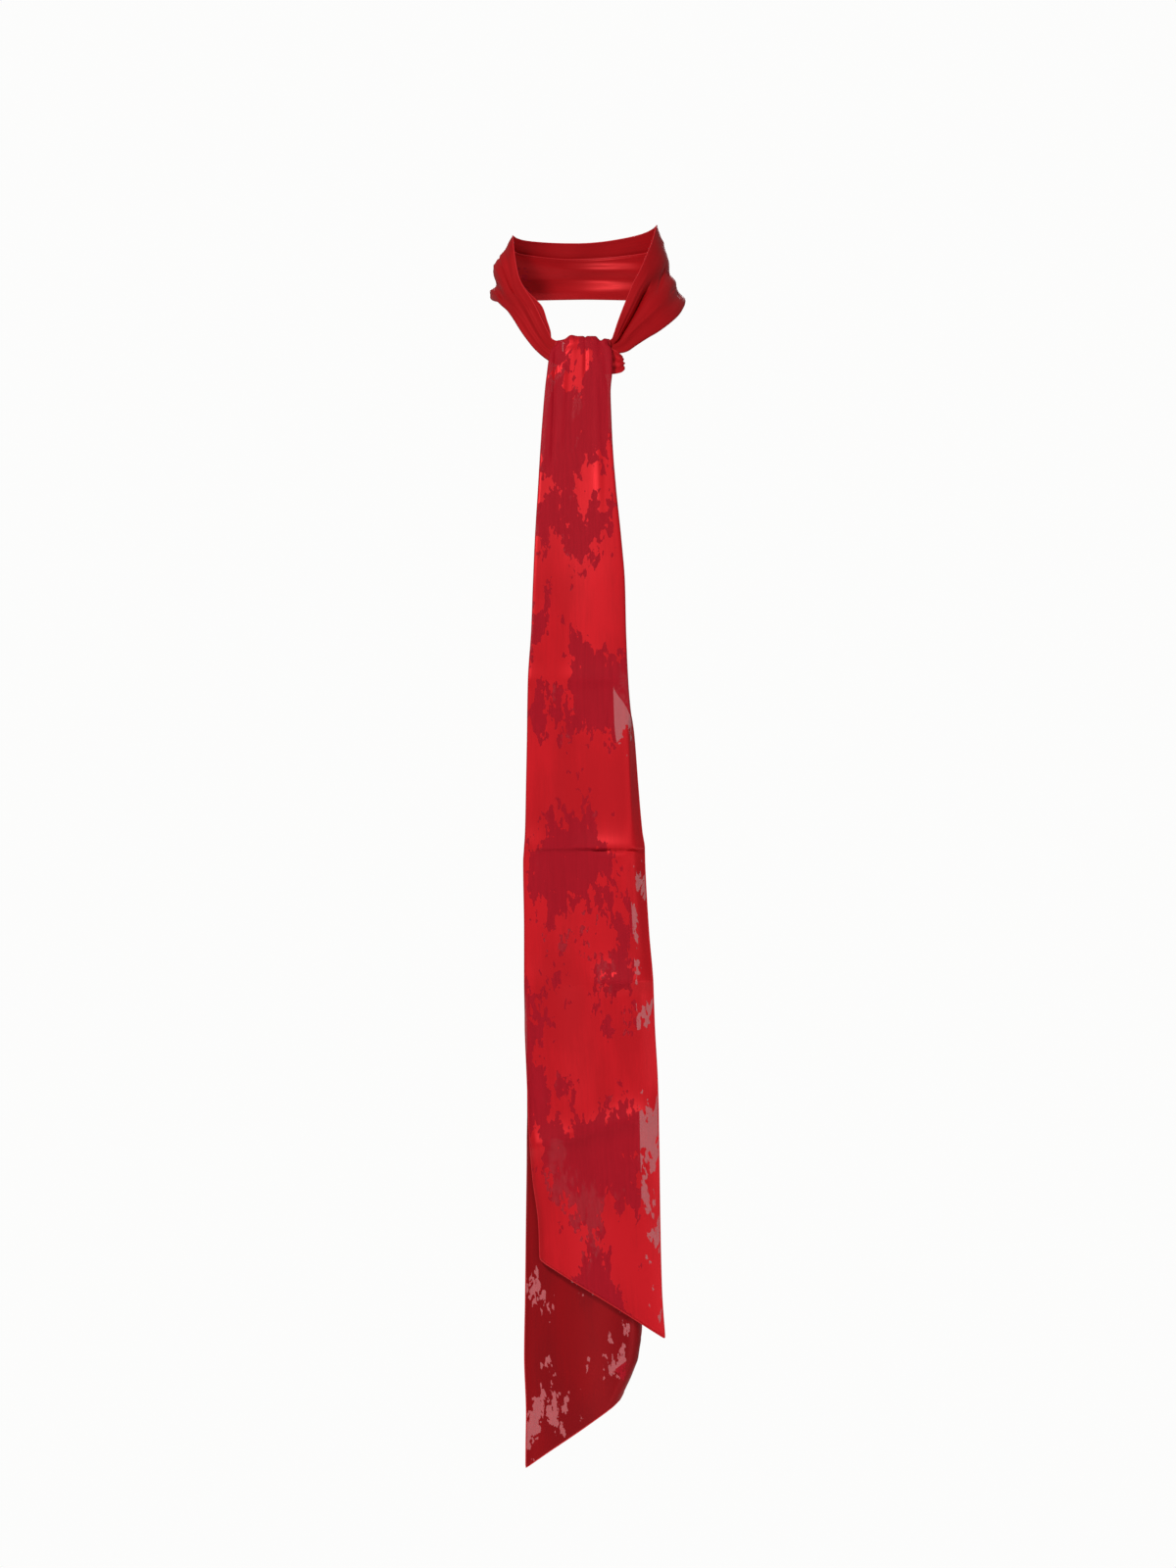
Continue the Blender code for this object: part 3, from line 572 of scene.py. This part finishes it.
def wrap_grid():
    """Points of the crossing of the knot, from its upper to its lower edge."""
    creases = in_millimetres(WRAP_CREASES, WRAP_ROW_LENGTH, WRAP_HEIGHT)
    last = len(WRAP["bulge"]) - 1
    shares = np.linspace(0, 1, WRAP_ACROSS + 1)
    grid = []
    for place in np.linspace(0, last, WRAP_STEPS + 1):
        row = smooth_row(WRAP, place)
        top, low, outward = band_frame(WRAP, place)
        offsets = band_offset(row, shares, place, creases, WRAP_ROW_LENGTH, WRAP_HEIGHT)
        grid.append([top + (low - top) * share + outward * lift for share, lift in zip(shares, offsets)])
    return np.array(grid)


def margin_points(start, turn, bend_length, margin, side):
    """Points of one turned margin, from the edge of the flat middle outwards. side is -1 left, 1 right."""
    stretches = [(turn * (step + 0.5) / FOLD_STEPS, bend_length / FOLD_STEPS) for step in range(FOLD_STEPS)]
    stretches += [(turn, margin / MARGIN_STEPS)] * MARGIN_STEPS
    across = start
    behind = 0.0
    points = []
    for heading, length in stretches:
        across += side * length * np.cos(heading)
        behind += length * np.sin(heading)
        points.append((across, behind))
    return points


def margin_reach(turn, bend_length, margin):
    """How far a turned margin reaches past the flat middle, seen from the front."""
    return max(point[0] for point in margin_points(0.0, turn, bend_length, margin, 1))


def tail_section(row):
    """Across and behind for each point of a tail's cross section, from the left edge to the right."""
    left_turn = np.radians(row["left_angle"])
    right_turn = np.radians(row["right_angle"])
    left = row["left"] + margin_reach(left_turn, FOLD_LENGTH, row["left_margin"])
    right = row["right"] - margin_reach(right_turn, row["right_bend"], row["right_margin"])
    left_part = margin_points(left, left_turn, FOLD_LENGTH, row["left_margin"], -1)
    right_part = margin_points(right, right_turn, row["right_bend"], row["right_margin"], 1)
    middle = [(across, 0.0) for across in np.linspace(left, right, MIDDLE_STEPS + 1)]
    return np.array(left_part[::-1] + middle + right_part)


def travelled_shares(section):
    """Share of the cloth's width at each point of a cross section."""
    lengths = np.linalg.norm(np.diff(section, axis=0), axis=1)
    travelled = np.concatenate(((0.0,), np.cumsum(lengths)))
    return travelled / travelled[-1]


def wave_stand(across, height):
    """Soft lengthwise waves that grow as the cloth hangs free."""
    growth = np.clip((height - WAVE_FROM) / (WAVE_FULL - WAVE_FROM), 0, 1)
    return WAVE_DEPTH * growth * np.cos(2 * np.pi * across / WAVE_SPAN + WAVE_DRIFT * height)


def hanging_row(rows, height, seed):
    """One row of points of a hanging tail."""
    row = row_at_height(rows, height)
    section = tail_section(row)
    shares = travelled_shares(section)
    levels = height - row["drop"] * shares
    stands = crease_lift(TAIL_CREASES, section[:, 0], -levels)
    stands += wave_stand(section[:, 0], levels)
    stands += [ripple(across, level, seed) for across, level in zip(section[:, 0], levels)]
    return np.column_stack((section[:, 0], row["depth"] + section[:, 1] - stands, levels))


def fine_heights(rows):
    """Heights of a tail's rows of points, which lie closer together over its crosswise creases."""
    top = rows["height"][0]
    bottom = rows["height"][-1]
    trial = np.arange(0.0, top - bottom, FOLD_ROW_SPACING)
    weight = np.full(len(trial), 1 / ROW_SPACING)
    for height in CROSSWISE_CREASES:
        near = np.exp(-(((top - trial) + height) / FOLD_ROW_REACH) ** 2)
        weight = np.maximum(weight, near / FOLD_ROW_SPACING)
    counted = np.concatenate(((0.0,), np.cumsum(weight[:-1] * FOLD_ROW_SPACING)))
    marks = np.linspace(0.0, counted[-1], int(np.ceil(counted[-1])) + 1)
    heights = top - np.interp(marks, counted, trial)
    heights[-1] = bottom
    return heights


def scallop(across):
    """How far the gathers lower the top of the front tail at one place across it."""
    inside = np.clip(across, CREST_LEFT, CREST_RIGHT)
    return float(steady_curve(CREST_SCALLOPS["across"], CREST_SCALLOPS["drop"], inside))


def pleat(across, height):
    """How far the gathers of the knot sink into the front tail, fading downwards."""
    fade = np.clip(1 - (CREST_Z + CREST_RADIUS - height) / PLEAT_FADE, 0, 1)
    return max(scallop(across), 0) * PLEAT_SHARE * fade


def crest_row(angle, start_share):
    """One row of points where the front tail falls over the crossing. angle 0 is behind, pi in front."""
    row = row_at_height(FRONT_TAIL, CREST_Z)
    front_share = angle / np.pi
    row["left"] = np.interp(front_share, (0, 0.5, 1), (CREST_START_LEFT, CREST_LEFT, row["left"]))
    row["right"] = np.interp(front_share, (0, 0.5, 1), (CREST_START_RIGHT, CREST_RIGHT, row["right"]))
    points = []
    for across, behind in tail_section(row):
        full = SCALLOP_SHARE_BEHIND + (1 - SCALLOP_SHARE_BEHIND) * np.sin(angle)
        lowered = scallop(across) * full * (1 - start_share)
        radius = CREST_RADIUS - behind
        depth = CREST_Y + radius * np.cos(angle)
        height = CREST_Z + (CREST_RADIUS - lowered) * np.sin(angle)
        height += (CREST_START_Z - CREST_Z) * start_share
        points.append((across, depth + pleat(across, height) * front_share, height))
    return points


def front_tail_grid():
    """Points of the front tail, from behind the crossing, over its top, and down to the slanting end."""
    grid = [crest_row(0.0, 1.0)]
    grid += [crest_row(angle, 0.0) for angle in np.linspace(0, np.pi, CREST_STEPS + 1)]
    for level in fine_heights(FRONT_TAIL)[1:]:
        points = hanging_row(FRONT_TAIL, level, FRONT_TAIL_SEED)
        points[:, 1] += [pleat(across, height) for across, _, height in points]
        grid.append(points)
    return np.array(grid)


def back_tail_grid():
    """Points of the back tail, from inside the crossing to the slanting end."""
    heights = fine_heights(BACK_TAIL)
    return np.array([hanging_row(BACK_TAIL, level, BACK_TAIL_SEED) for level in heights])


def cloth_places(grid):
    """Where each point of a grid lies on the flat cloth, in metres: across from one edge, and along."""
    across = np.array([travelled_shares(row) for row in grid]) * CLOTH_WIDTH
    steps = np.linalg.norm(np.diff(grid, axis=0), axis=2)
    along = np.concatenate((np.zeros((1, grid.shape[1])), np.cumsum(steps, axis=0)))
    return np.stack((across, along), axis=2) * MM


def cloth_piece(name, grid, material):
    """One thin shell of cloth from a grid of points in millimetres. Its UV is the place on the flat cloth."""
    rows, columns, _ = grid.shape
    corners = np.arange(rows * columns).reshape(rows, columns)
    faces = np.stack((corners[:-1, :-1], corners[:-1, 1:], corners[1:, 1:], corners[1:, :-1]), axis=2)
    mesh = bpy.data.meshes.new(name)
    mesh.from_pydata((grid.reshape(-1, 3) * MM).tolist(), [], faces.reshape(-1, 4).tolist())
    places = cloth_places(grid).reshape(-1, 2)
    loops = np.zeros(len(mesh.loops), dtype=np.int32)
    mesh.loops.foreach_get("vertex_index", loops)
    flat = mesh.uv_layers.new(name="cloth")
    flat.data.foreach_set("uv", places[loops].ravel())
    mesh.materials.append(material)
    mesh.shade_smooth()
    piece = bpy.data.objects.new(name, mesh)
    bpy.context.scene.collection.objects.link(piece)
    wall = piece.modifiers.new("wall", "SOLIDIFY")
    wall.thickness = CLOTH_THICKNESS
    wall.offset = 0.0
    wall.use_even_offset = True
    return piece


class Field:
    """A number or colour that varies over the surface. Arithmetic on it adds Math nodes."""

    def __init__(self, nodes, socket):
        self.nodes = nodes
        self.socket = socket

    def maths(self, operation, first, second):
        return self.nodes.add("ShaderNodeMath", {"operation": operation}, {0: first, 1: second})

    def __add__(self, other):
        return self.maths("ADD", self, other)

    def __radd__(self, other):
        return self.maths("ADD", other, self)

    def __sub__(self, other):
        return self.maths("SUBTRACT", self, other)

    def __rsub__(self, other):
        return self.maths("SUBTRACT", other, self)

    def __mul__(self, other):
        return self.maths("MULTIPLY", self, other)

    def __rmul__(self, other):
        return self.maths("MULTIPLY", other, self)


class Nodes:
    """A node tree that is being built."""

    def __init__(self, tree):
        self.tree = tree

    def feed(self, socket, value):
        """Links a socket to a field, or sets its value."""
        if isinstance(value, Field):
            self.tree.links.new(value.socket, socket)
        else:
            socket.default_value = value

    def add(self, kind, settings=None, sockets=None, output=0):
        """Adds a node with its settings and sockets, and gives one of its outputs."""
        node = self.tree.nodes.new(kind)
        for name, value in (settings or {}).items():
            setattr(node, name, value)
        for name, value in (sockets or {}).items():
            self.feed(node.inputs[name], value)
        return Field(self, node.outputs[output])

    def step(self, value, low, high):
        """Rises softly from 0 at low to 1 at high."""
        settings = {"interpolation_type": "SMOOTHSTEP"}
        return self.add("ShaderNodeMapRange", settings, {"Value": value, "From Min": low, "From Max": high})

    def placed(self, vector, shift, size, turn=0.0):
        """Moves, turns and scales a pattern, so that its parts are about as large as size, in metres."""
        scale = (1 / size[0], 1 / size[1], 1.0)
        sockets = {"Vector": vector, "Location": shift, "Rotation": (0.0, 0.0, turn), "Scale": scale}
        return self.add("ShaderNodeMapping", None, sockets)

    def clouds(self, vector, detail, roughness=0.5):
        """Soft noise from 0 to 1 on a vector that is already scaled."""
        sockets = {"Vector": vector, "Scale": 1.0, "Detail": detail, "Roughness": roughness}
        return self.add("ShaderNodeTexNoise", {"noise_dimensions": "2D"}, sockets)

    def colour_mix(self, share, first, second):
        """Mixes two colours."""
        node = self.tree.nodes.new("ShaderNodeMix")
        node.data_type = "RGBA"
        self.feed(node.inputs["Factor"], share)
        self.feed(node.inputs[6], first)
        self.feed(node.inputs[7], second)
        return Field(self, node.outputs[2])


def new_surface(name, constants):
    """A material with a Principled shader, whose constant values are set."""
    material = bpy.data.materials.new(name)
    material.use_nodes = True
    shader = material.node_tree.nodes["Principled BSDF"]
    for socket, value in constants.items():
        shader.inputs[socket].default_value = value
    return material, Nodes(material.node_tree), shader


def burnt_out(nodes, cloth, shift, burnt):
    """Where the satin is burnt out to the sheer ground: 1 on the ground and 0 on the satin."""
    along = nodes.add("ShaderNodeSeparateXYZ", None, {"Vector": cloth}, "Y")
    off_centre = nodes.add("ShaderNodeSeparateXYZ", None, {"Vector": cloth}, "X") - CLOTH_WIDTH * MM / 2
    patches = nodes.clouds(nodes.placed(cloth, shift, PATCH_SIZE), PATCH_DETAIL)
    strokes = nodes.placed(cloth, shift, STROKE_SIZE, STROKE_TURN)
    strokes = nodes.clouds(strokes, DESIGN_DETAIL, DESIGN_ROUGHNESS)
    ragged = nodes.placed(cloth, shift, RAGGED_SIZE, RAGGED_TURN)
    ragged = nodes.clouds(ragged, DESIGN_DETAIL, DESIGN_ROUGHNESS)
    behind_crest = nodes.step(along, CREST_ALONG + CREST_BLEND, CREST_ALONG - CREST_BLEND)
    near_edge = nodes.step(off_centre * off_centre, PLAIN_EDGE_FROM**2, PLAIN_EDGE_FULL**2)
    bare = burnt["middle"] + nodes.step(along, START_GONE, START_FULL) * burnt["start"]
    bare = bare - behind_crest * burnt["start"] * CREST_PLAIN
    bare = bare + nodes.step(along, END_FROM, END_FULL) * burnt["end"]
    bare = bare - near_edge * PLAIN_EDGE
    spread = patches + bare + (strokes - 0.5) * STROKE_SHARE + (ragged - 0.5) * RAGGED_SHARE
    return nodes.step(spread, SATIN_LEVEL, GROUND_LEVEL)


def devore_silk(name, colours, shift, burnt):
    """Silk satin, partly burnt out. shift moves the design, and burnt says how much there is, and where."""
    constants = {"IOR": SILK_IOR, "Specular IOR Level": SILK_SPECULAR}
    material, nodes, shader = new_surface(name, constants)
    cloth = nodes.add("ShaderNodeUVMap", {"uv_map": "cloth"})
    ground = burnt_out(nodes, cloth, shift, burnt)
    shade, threads, picks, slubs = [
        nodes.clouds(nodes.placed(cloth, shift, size), WEAVE_DETAIL)
        for size in (SHADE_SIZE, THREAD_SIZE, PICK_SIZE, SLUB_SIZE)
    ]
    satin_tone = shade + (slubs - 0.5) * SATIN_SLUBS + (threads - 0.5) * SATIN_THREADS
    sheer_tone = slubs + (threads - 0.5) * SHEER_THREADS
    satin = nodes.colour_mix(nodes.step(satin_tone, *SATIN_TONES), *colours)
    sheer = nodes.colour_mix(nodes.step(sheer_tone, *SHEER_TONES), SHEER_RED, SHEER_DEEP)
    roughness = SATIN_ROUGHNESS + ground * SHEER_ROUGHER + (threads - 0.5) * THREAD_ROUGHER
    nodes.feed(shader.inputs["Base Color"], nodes.colour_mix(ground, satin, sheer))
    nodes.feed(shader.inputs["Metallic"], SATIN_LUSTRE - ground * SATIN_LUSTRE)
    nodes.feed(shader.inputs["Roughness"], roughness)
    nodes.feed(shader.inputs["Alpha"], 1 - ground * SHEER_CLEAR)
    relief = threads * 0.5 + picks * 0.5
    sockets = {"Strength": WEAVE_STRENGTH, "Distance": WEAVE_DEPTH, "Height": relief}
    bump = nodes.add("ShaderNodeBump", None, sockets)
    nodes.feed(shader.inputs["Normal"], bump)
    return material


def hem_silk():
    """The silk of the rolled hem, with the twist of the roll."""
    constants = {"IOR": SILK_IOR, "Specular IOR Level": HEM_SPECULAR}
    material, nodes, shader = new_surface("hem_silk", constants)
    place = nodes.add("ShaderNodeTexCoord", None, None, "Object")
    sockets = {"Vector": place, "Scale": HEM_GRAIN, "Detail": 2.0}
    grain = nodes.add("ShaderNodeTexNoise", None, sockets)
    nodes.feed(shader.inputs["Base Color"], nodes.colour_mix(grain, SATIN_DEEP, SATIN_RED))
    nodes.feed(shader.inputs["Roughness"], HEM_ROUGHNESS + grain * HEM_GRAIN_ROUGHER)
    sockets = {"Strength": HEM_STRENGTH, "Distance": WEAVE_DEPTH, "Height": grain}
    bump = nodes.add("ShaderNodeBump", None, sockets)
    nodes.feed(shader.inputs["Normal"], bump)
    return material


def sewing_thread():
    """The thread of the hem stitches."""
    material, nodes, shader = new_surface("sewing_thread", {"IOR": THREAD_IOR})
    place = nodes.add("ShaderNodeTexCoord", None, None, "Object")
    sockets = {"Vector": place, "Scale": THREAD_GRAIN, "Detail": 1.0}
    ply = nodes.add("ShaderNodeTexNoise", None, sockets)
    nodes.feed(shader.inputs["Base Color"], nodes.colour_mix(ply, THREAD_RED, SATIN_RED))
    nodes.feed(shader.inputs["Roughness"], THREAD_ROUGHNESS + ply * THREAD_GRAIN_ROUGHER)
    return material


def hem_tree(silk, thread):
    """Geometry nodes that roll a hem along a path and sew it with small slanting stitches."""
    tree = bpy.data.node_groups.new("rolled_hem", "GeometryNodeTree")
    sizes = {
        "Hem radius": HEM_RADIUS,
        "Hem step": HEM_STEP,
        "Stitch spacing": STITCH_SPACING,
        "Stitch length": STITCH_LENGTH,
        "Stitch radius": STITCH_RADIUS,
    }
    tree.interface.new_socket("Path", in_out="INPUT", socket_type="NodeSocketGeometry")
    for name, size in sizes.items():
        tree.interface.new_socket(name, in_out="INPUT", socket_type="NodeSocketFloat").default_value = size
    tree.interface.new_socket("Hem", in_out="OUTPUT", socket_type="NodeSocketGeometry")
    nodes = Nodes(tree)
    given = tree.nodes.new("NodeGroupInput")
    size = {name: Field(nodes, given.outputs[name]) for name in sizes}
    path = nodes.add("GeometryNodeMeshToCurve", None, {"Mesh": Field(nodes, given.outputs["Path"])})
    by_length = {"mode": "LENGTH"}
    fine = nodes.add("GeometryNodeResampleCurve", by_length, {"Curve": path, "Length": size["Hem step"]})
    sockets = {"Resolution": HEM_SIDES, "Radius": size["Hem radius"]}
    ring = nodes.add("GeometryNodeCurvePrimitiveCircle", None, sockets)
    sockets = {"Curve": fine, "Profile Curve": ring, "Fill Caps": True}
    roll = nodes.add("GeometryNodeCurveToMesh", None, sockets)
    roll = nodes.add("GeometryNodeSetMaterial", None, {"Geometry": roll, "Material": silk})

    def vector_maths(operation, first, second):
        return nodes.add("ShaderNodeVectorMath", {"operation": operation}, {0: first, 1: second})

    def scaled(vector, scale):
        return nodes.add("ShaderNodeVectorMath", {"operation": "SCALE"}, {"Vector": vector, "Scale": scale})

    sockets = {"Curve": path, "Length": size["Stitch spacing"]}
    places = nodes.add("GeometryNodeResampleCurve", by_length, sockets)
    inward = nodes.add("GeometryNodeInputNamedAttribute", {"data_type": "FLOAT_VECTOR"}, {"Name": "inward"})
    tangent = nodes.add("GeometryNodeInputTangent")
    face = vector_maths("CROSS_PRODUCT", tangent, inward)
    into_cloth = scaled(inward, size["Hem radius"] * STITCH_INWARD)
    out_of_face = scaled(face, size["Hem radius"] * STITCH_OUTWARD)
    shift = vector_maths("ADD", into_cloth, out_of_face)
    moved = nodes.add("GeometryNodeSetPosition", None, {"Geometry": places, "Offset": shift})
    slant = vector_maths("ADD", scaled(tangent, STITCH_RUN), scaled(inward, STITCH_SLANT))
    axes = {"primary_axis": "Z", "secondary_axis": "X"}
    turned = nodes.add("FunctionNodeAxesToRotation", axes, {"Primary Axis": slant, "Secondary Axis": face})
    sockets = {"Vertices": STITCH_SIDES, "Side Segments": 1}
    sockets["Radius"] = size["Stitch radius"]
    sockets["Depth"] = size["Stitch length"]
    stitch = nodes.add("GeometryNodeMeshCylinder", None, sockets)
    sockets = {"Points": moved, "Instance": stitch, "Rotation": turned}
    stitches = nodes.add("GeometryNodeInstanceOnPoints", None, sockets)
    stitches = nodes.add("GeometryNodeRealizeInstances", None, {"Geometry": stitches})
    stitches = nodes.add("GeometryNodeSetMaterial", None, {"Geometry": stitches, "Material": thread})
    joined = tree.nodes.new("GeometryNodeJoinGeometry")
    for part in (stitches, roll):
        tree.links.new(part.socket, joined.inputs["Geometry"])
    tree.links.new(joined.outputs["Geometry"], tree.nodes.new("NodeGroupOutput").inputs["Hem"])
    return tree


def hem_paths(grid, closed_end):
    """The edges of a grid that are hemmed, with the way into the cloth at each point."""
    left = (grid[:, 0], grid[:, 1] - grid[:, 0])
    right = (grid[::-1, -1], grid[::-1, -2] - grid[::-1, -1])
    if not closed_end:
        return [left, right]
    end = (grid[-1, 1:-1], grid[-2, 1:-1] - grid[-1, 1:-1])
    return [tuple(np.concatenate(parts) for parts in zip(left, end, right))]


def hem_piece(name, grid, closed_end, tree):
    """The rolled and sewn hem along the edges of one stretch of cloth, as a plain mesh."""
    points = []
    inward = []
    edges = []
    for path, ways in hem_paths(grid, closed_end):
        first = len(points)
        points += (path * MM).tolist()
        inward += (ways / np.linalg.norm(ways, axis=1)[:, None]).tolist()
        edges += [(first + step, first + step + 1) for step in range(len(path) - 1)]
    mesh = bpy.data.meshes.new(name + "_path")
    mesh.from_pydata(points, edges, [])
    ways = mesh.attributes.new("inward", "FLOAT_VECTOR", "POINT")
    ways.data.foreach_set("vector", np.array(inward).ravel())
    piece = bpy.data.objects.new(name, mesh)
    bpy.context.scene.collection.objects.link(piece)
    roll = piece.modifiers.new("roll", "NODES")
    roll.node_group = tree
    seen = piece.evaluated_get(bpy.context.evaluated_depsgraph_get())
    plain = bpy.data.meshes.new_from_object(seen)
    piece.modifiers.remove(roll)
    piece.data = plain
    plain.shade_smooth()
    return piece


def stretch(name, grid, material, tree, closed_end, nodes):
    """One stretch of the stole: its cloth and hem, riding on the body and standing for its CAD nodes."""
    cloth = cloth_piece(name, grid, material)
    hem = hem_piece(name + "_hem", grid, closed_end, tree)
    for piece in (cloth, hem):
        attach(piece, "root")
    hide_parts(*nodes)


def build_stole():
    """Builds the four stretches of the stole that show."""
    tree = hem_tree(hem_silk(), sewing_thread())
    right_side = (SATIN_RED, SATIN_DEEP)
    # The back tail's colours are painted shade on the satin, not a duller side of the cloth.
    back_painted_shade = (BACK_PAINTED_SHADE_RED, BACK_PAINTED_SHADE_DEEP)
    # The loop's colours are painted shade on the satin.
    loop_painted_shade = (LOOP_PAINTED_SHADE_RED, LOOP_PAINTED_SHADE_DEEP)
    little = {"start": 0.0, "middle": -0.27, "end": 0.0}
    much = {"start": 0.14, "middle": -0.01, "end": 0.05}
    some = {"start": 0.0, "middle": -0.15, "end": 0.07}
    loop_silk = devore_silk("loop_silk", loop_painted_shade, (3.1, 0.7, 0.0), little)
    knot_silk = devore_silk("knot_silk", right_side, (8.2, 1.4, 0.0), little)
    front_silk = devore_silk("front_tail_silk", right_side, (11.5, 2.3, 0.0), much)
    back_silk = devore_silk("back_tail_silk", back_painted_shade, (6.7, 2.9, 0.0), some)
    neck_nodes = ("neck_right", "neck_back", "neck_left")
    knot_nodes = ("knot_wrap",)
    front_nodes = ("front_tail",)
    back_nodes = ("back_tail",)
    front_grid = front_tail_grid()
    back_grid = back_tail_grid()
    stretch("neck_loop", loop_grid(), loop_silk, tree, False, neck_nodes)
    stretch("knot_crossing", wrap_grid(), knot_silk, tree, False, knot_nodes)
    stretch("front_fall", front_grid, front_silk, tree, True, front_nodes)
    stretch("back_fall", back_grid, back_silk, tree, True, back_nodes)


def area_light(name, place, target, size, power, colour):
    """A soft lamp that the camera doesn't see."""
    lamp = bpy.data.lights.new(name, "AREA")
    lamp.shape = "DISK"
    lamp.size = size
    lamp.energy = power
    lamp.color = colour
    holder = bpy.data.objects.new(name, lamp)
    holder.location = place
    holder.rotation_euler = (Vector(target) - Vector(place)).to_track_quat("-Z", "Y").to_euler()
    holder.visible_camera = False
    bpy.context.scene.collection.objects.link(holder)


def studio():
    """Soft studio light, a pale floor far below and a pale surround."""
    area_light("key_light", (-1.0, -2.2, 1.15), (0.0, -0.15, -0.5), 0.5, 50.0, WARM_WHITE)
    area_light("fill_light", (0.9, -1.6, -1.0), (0.0, -0.1, -0.7), 1.0, 5.6, COOL_WHITE)
    area_light("back_light", (0.05, 1.6, 0.5), (0.0, 0.0, -0.45), 0.9, 12.0, COOL_WHITE)
    floor_mesh = bpy.data.meshes.new("studio_floor")
    signs = ((-1, -1), (1, -1), (1, 1), (-1, 1))
    corners = [(x * FLOOR_REACH, y * FLOOR_REACH, FLOOR_LEVEL) for x, y in signs]
    floor_mesh.from_pydata(corners, [], [(0, 1, 2, 3)])
    constants = {"Roughness": FLOOR_ROUGHNESS, "Base Color": FLOOR_PALE}
    constants["Emission Color"] = FLOOR_PALE
    constants["Emission Strength"] = FLOOR_GLOW
    material = new_surface("floor_paper", constants)[0]
    floor_mesh.materials.append(material)
    floor = bpy.data.objects.new("studio_floor", floor_mesh)
    bpy.context.scene.collection.objects.link(floor)
    world = bpy.data.worlds.new("pale_surround")
    world.use_nodes = True
    bpy.context.scene.world = world
    nodes = Nodes(world.node_tree)
    seen = nodes.add("ShaderNodeLightPath", None, None, "Is Camera Ray")
    surround = world.node_tree.nodes["Background"]
    surround.inputs["Color"].default_value = BACKGROUND_PALE
    nodes.feed(surround.inputs["Strength"], BACKGROUND_LIGHT + seen * (1 - BACKGROUND_LIGHT))


def camera():
    """The camera in front of the stole, level, at the height of the tails' upper half."""
    lens = bpy.data.cameras.new("camera")
    lens.sensor_width = SENSOR_WIDTH
    lens.lens = LENS_LENGTH
    lens.clip_end = FARTHEST_SEEN
    view = bpy.data.objects.new("camera", lens)
    view.location = CAMERA_PLACE
    view.rotation_euler = (np.pi / 2, 0.0, 0.0)
    bpy.context.scene.collection.objects.link(view)
    bpy.context.scene.camera = view
    bpy.context.scene.view_settings.view_transform = "Standard"


build_stole()
camera()
studio()
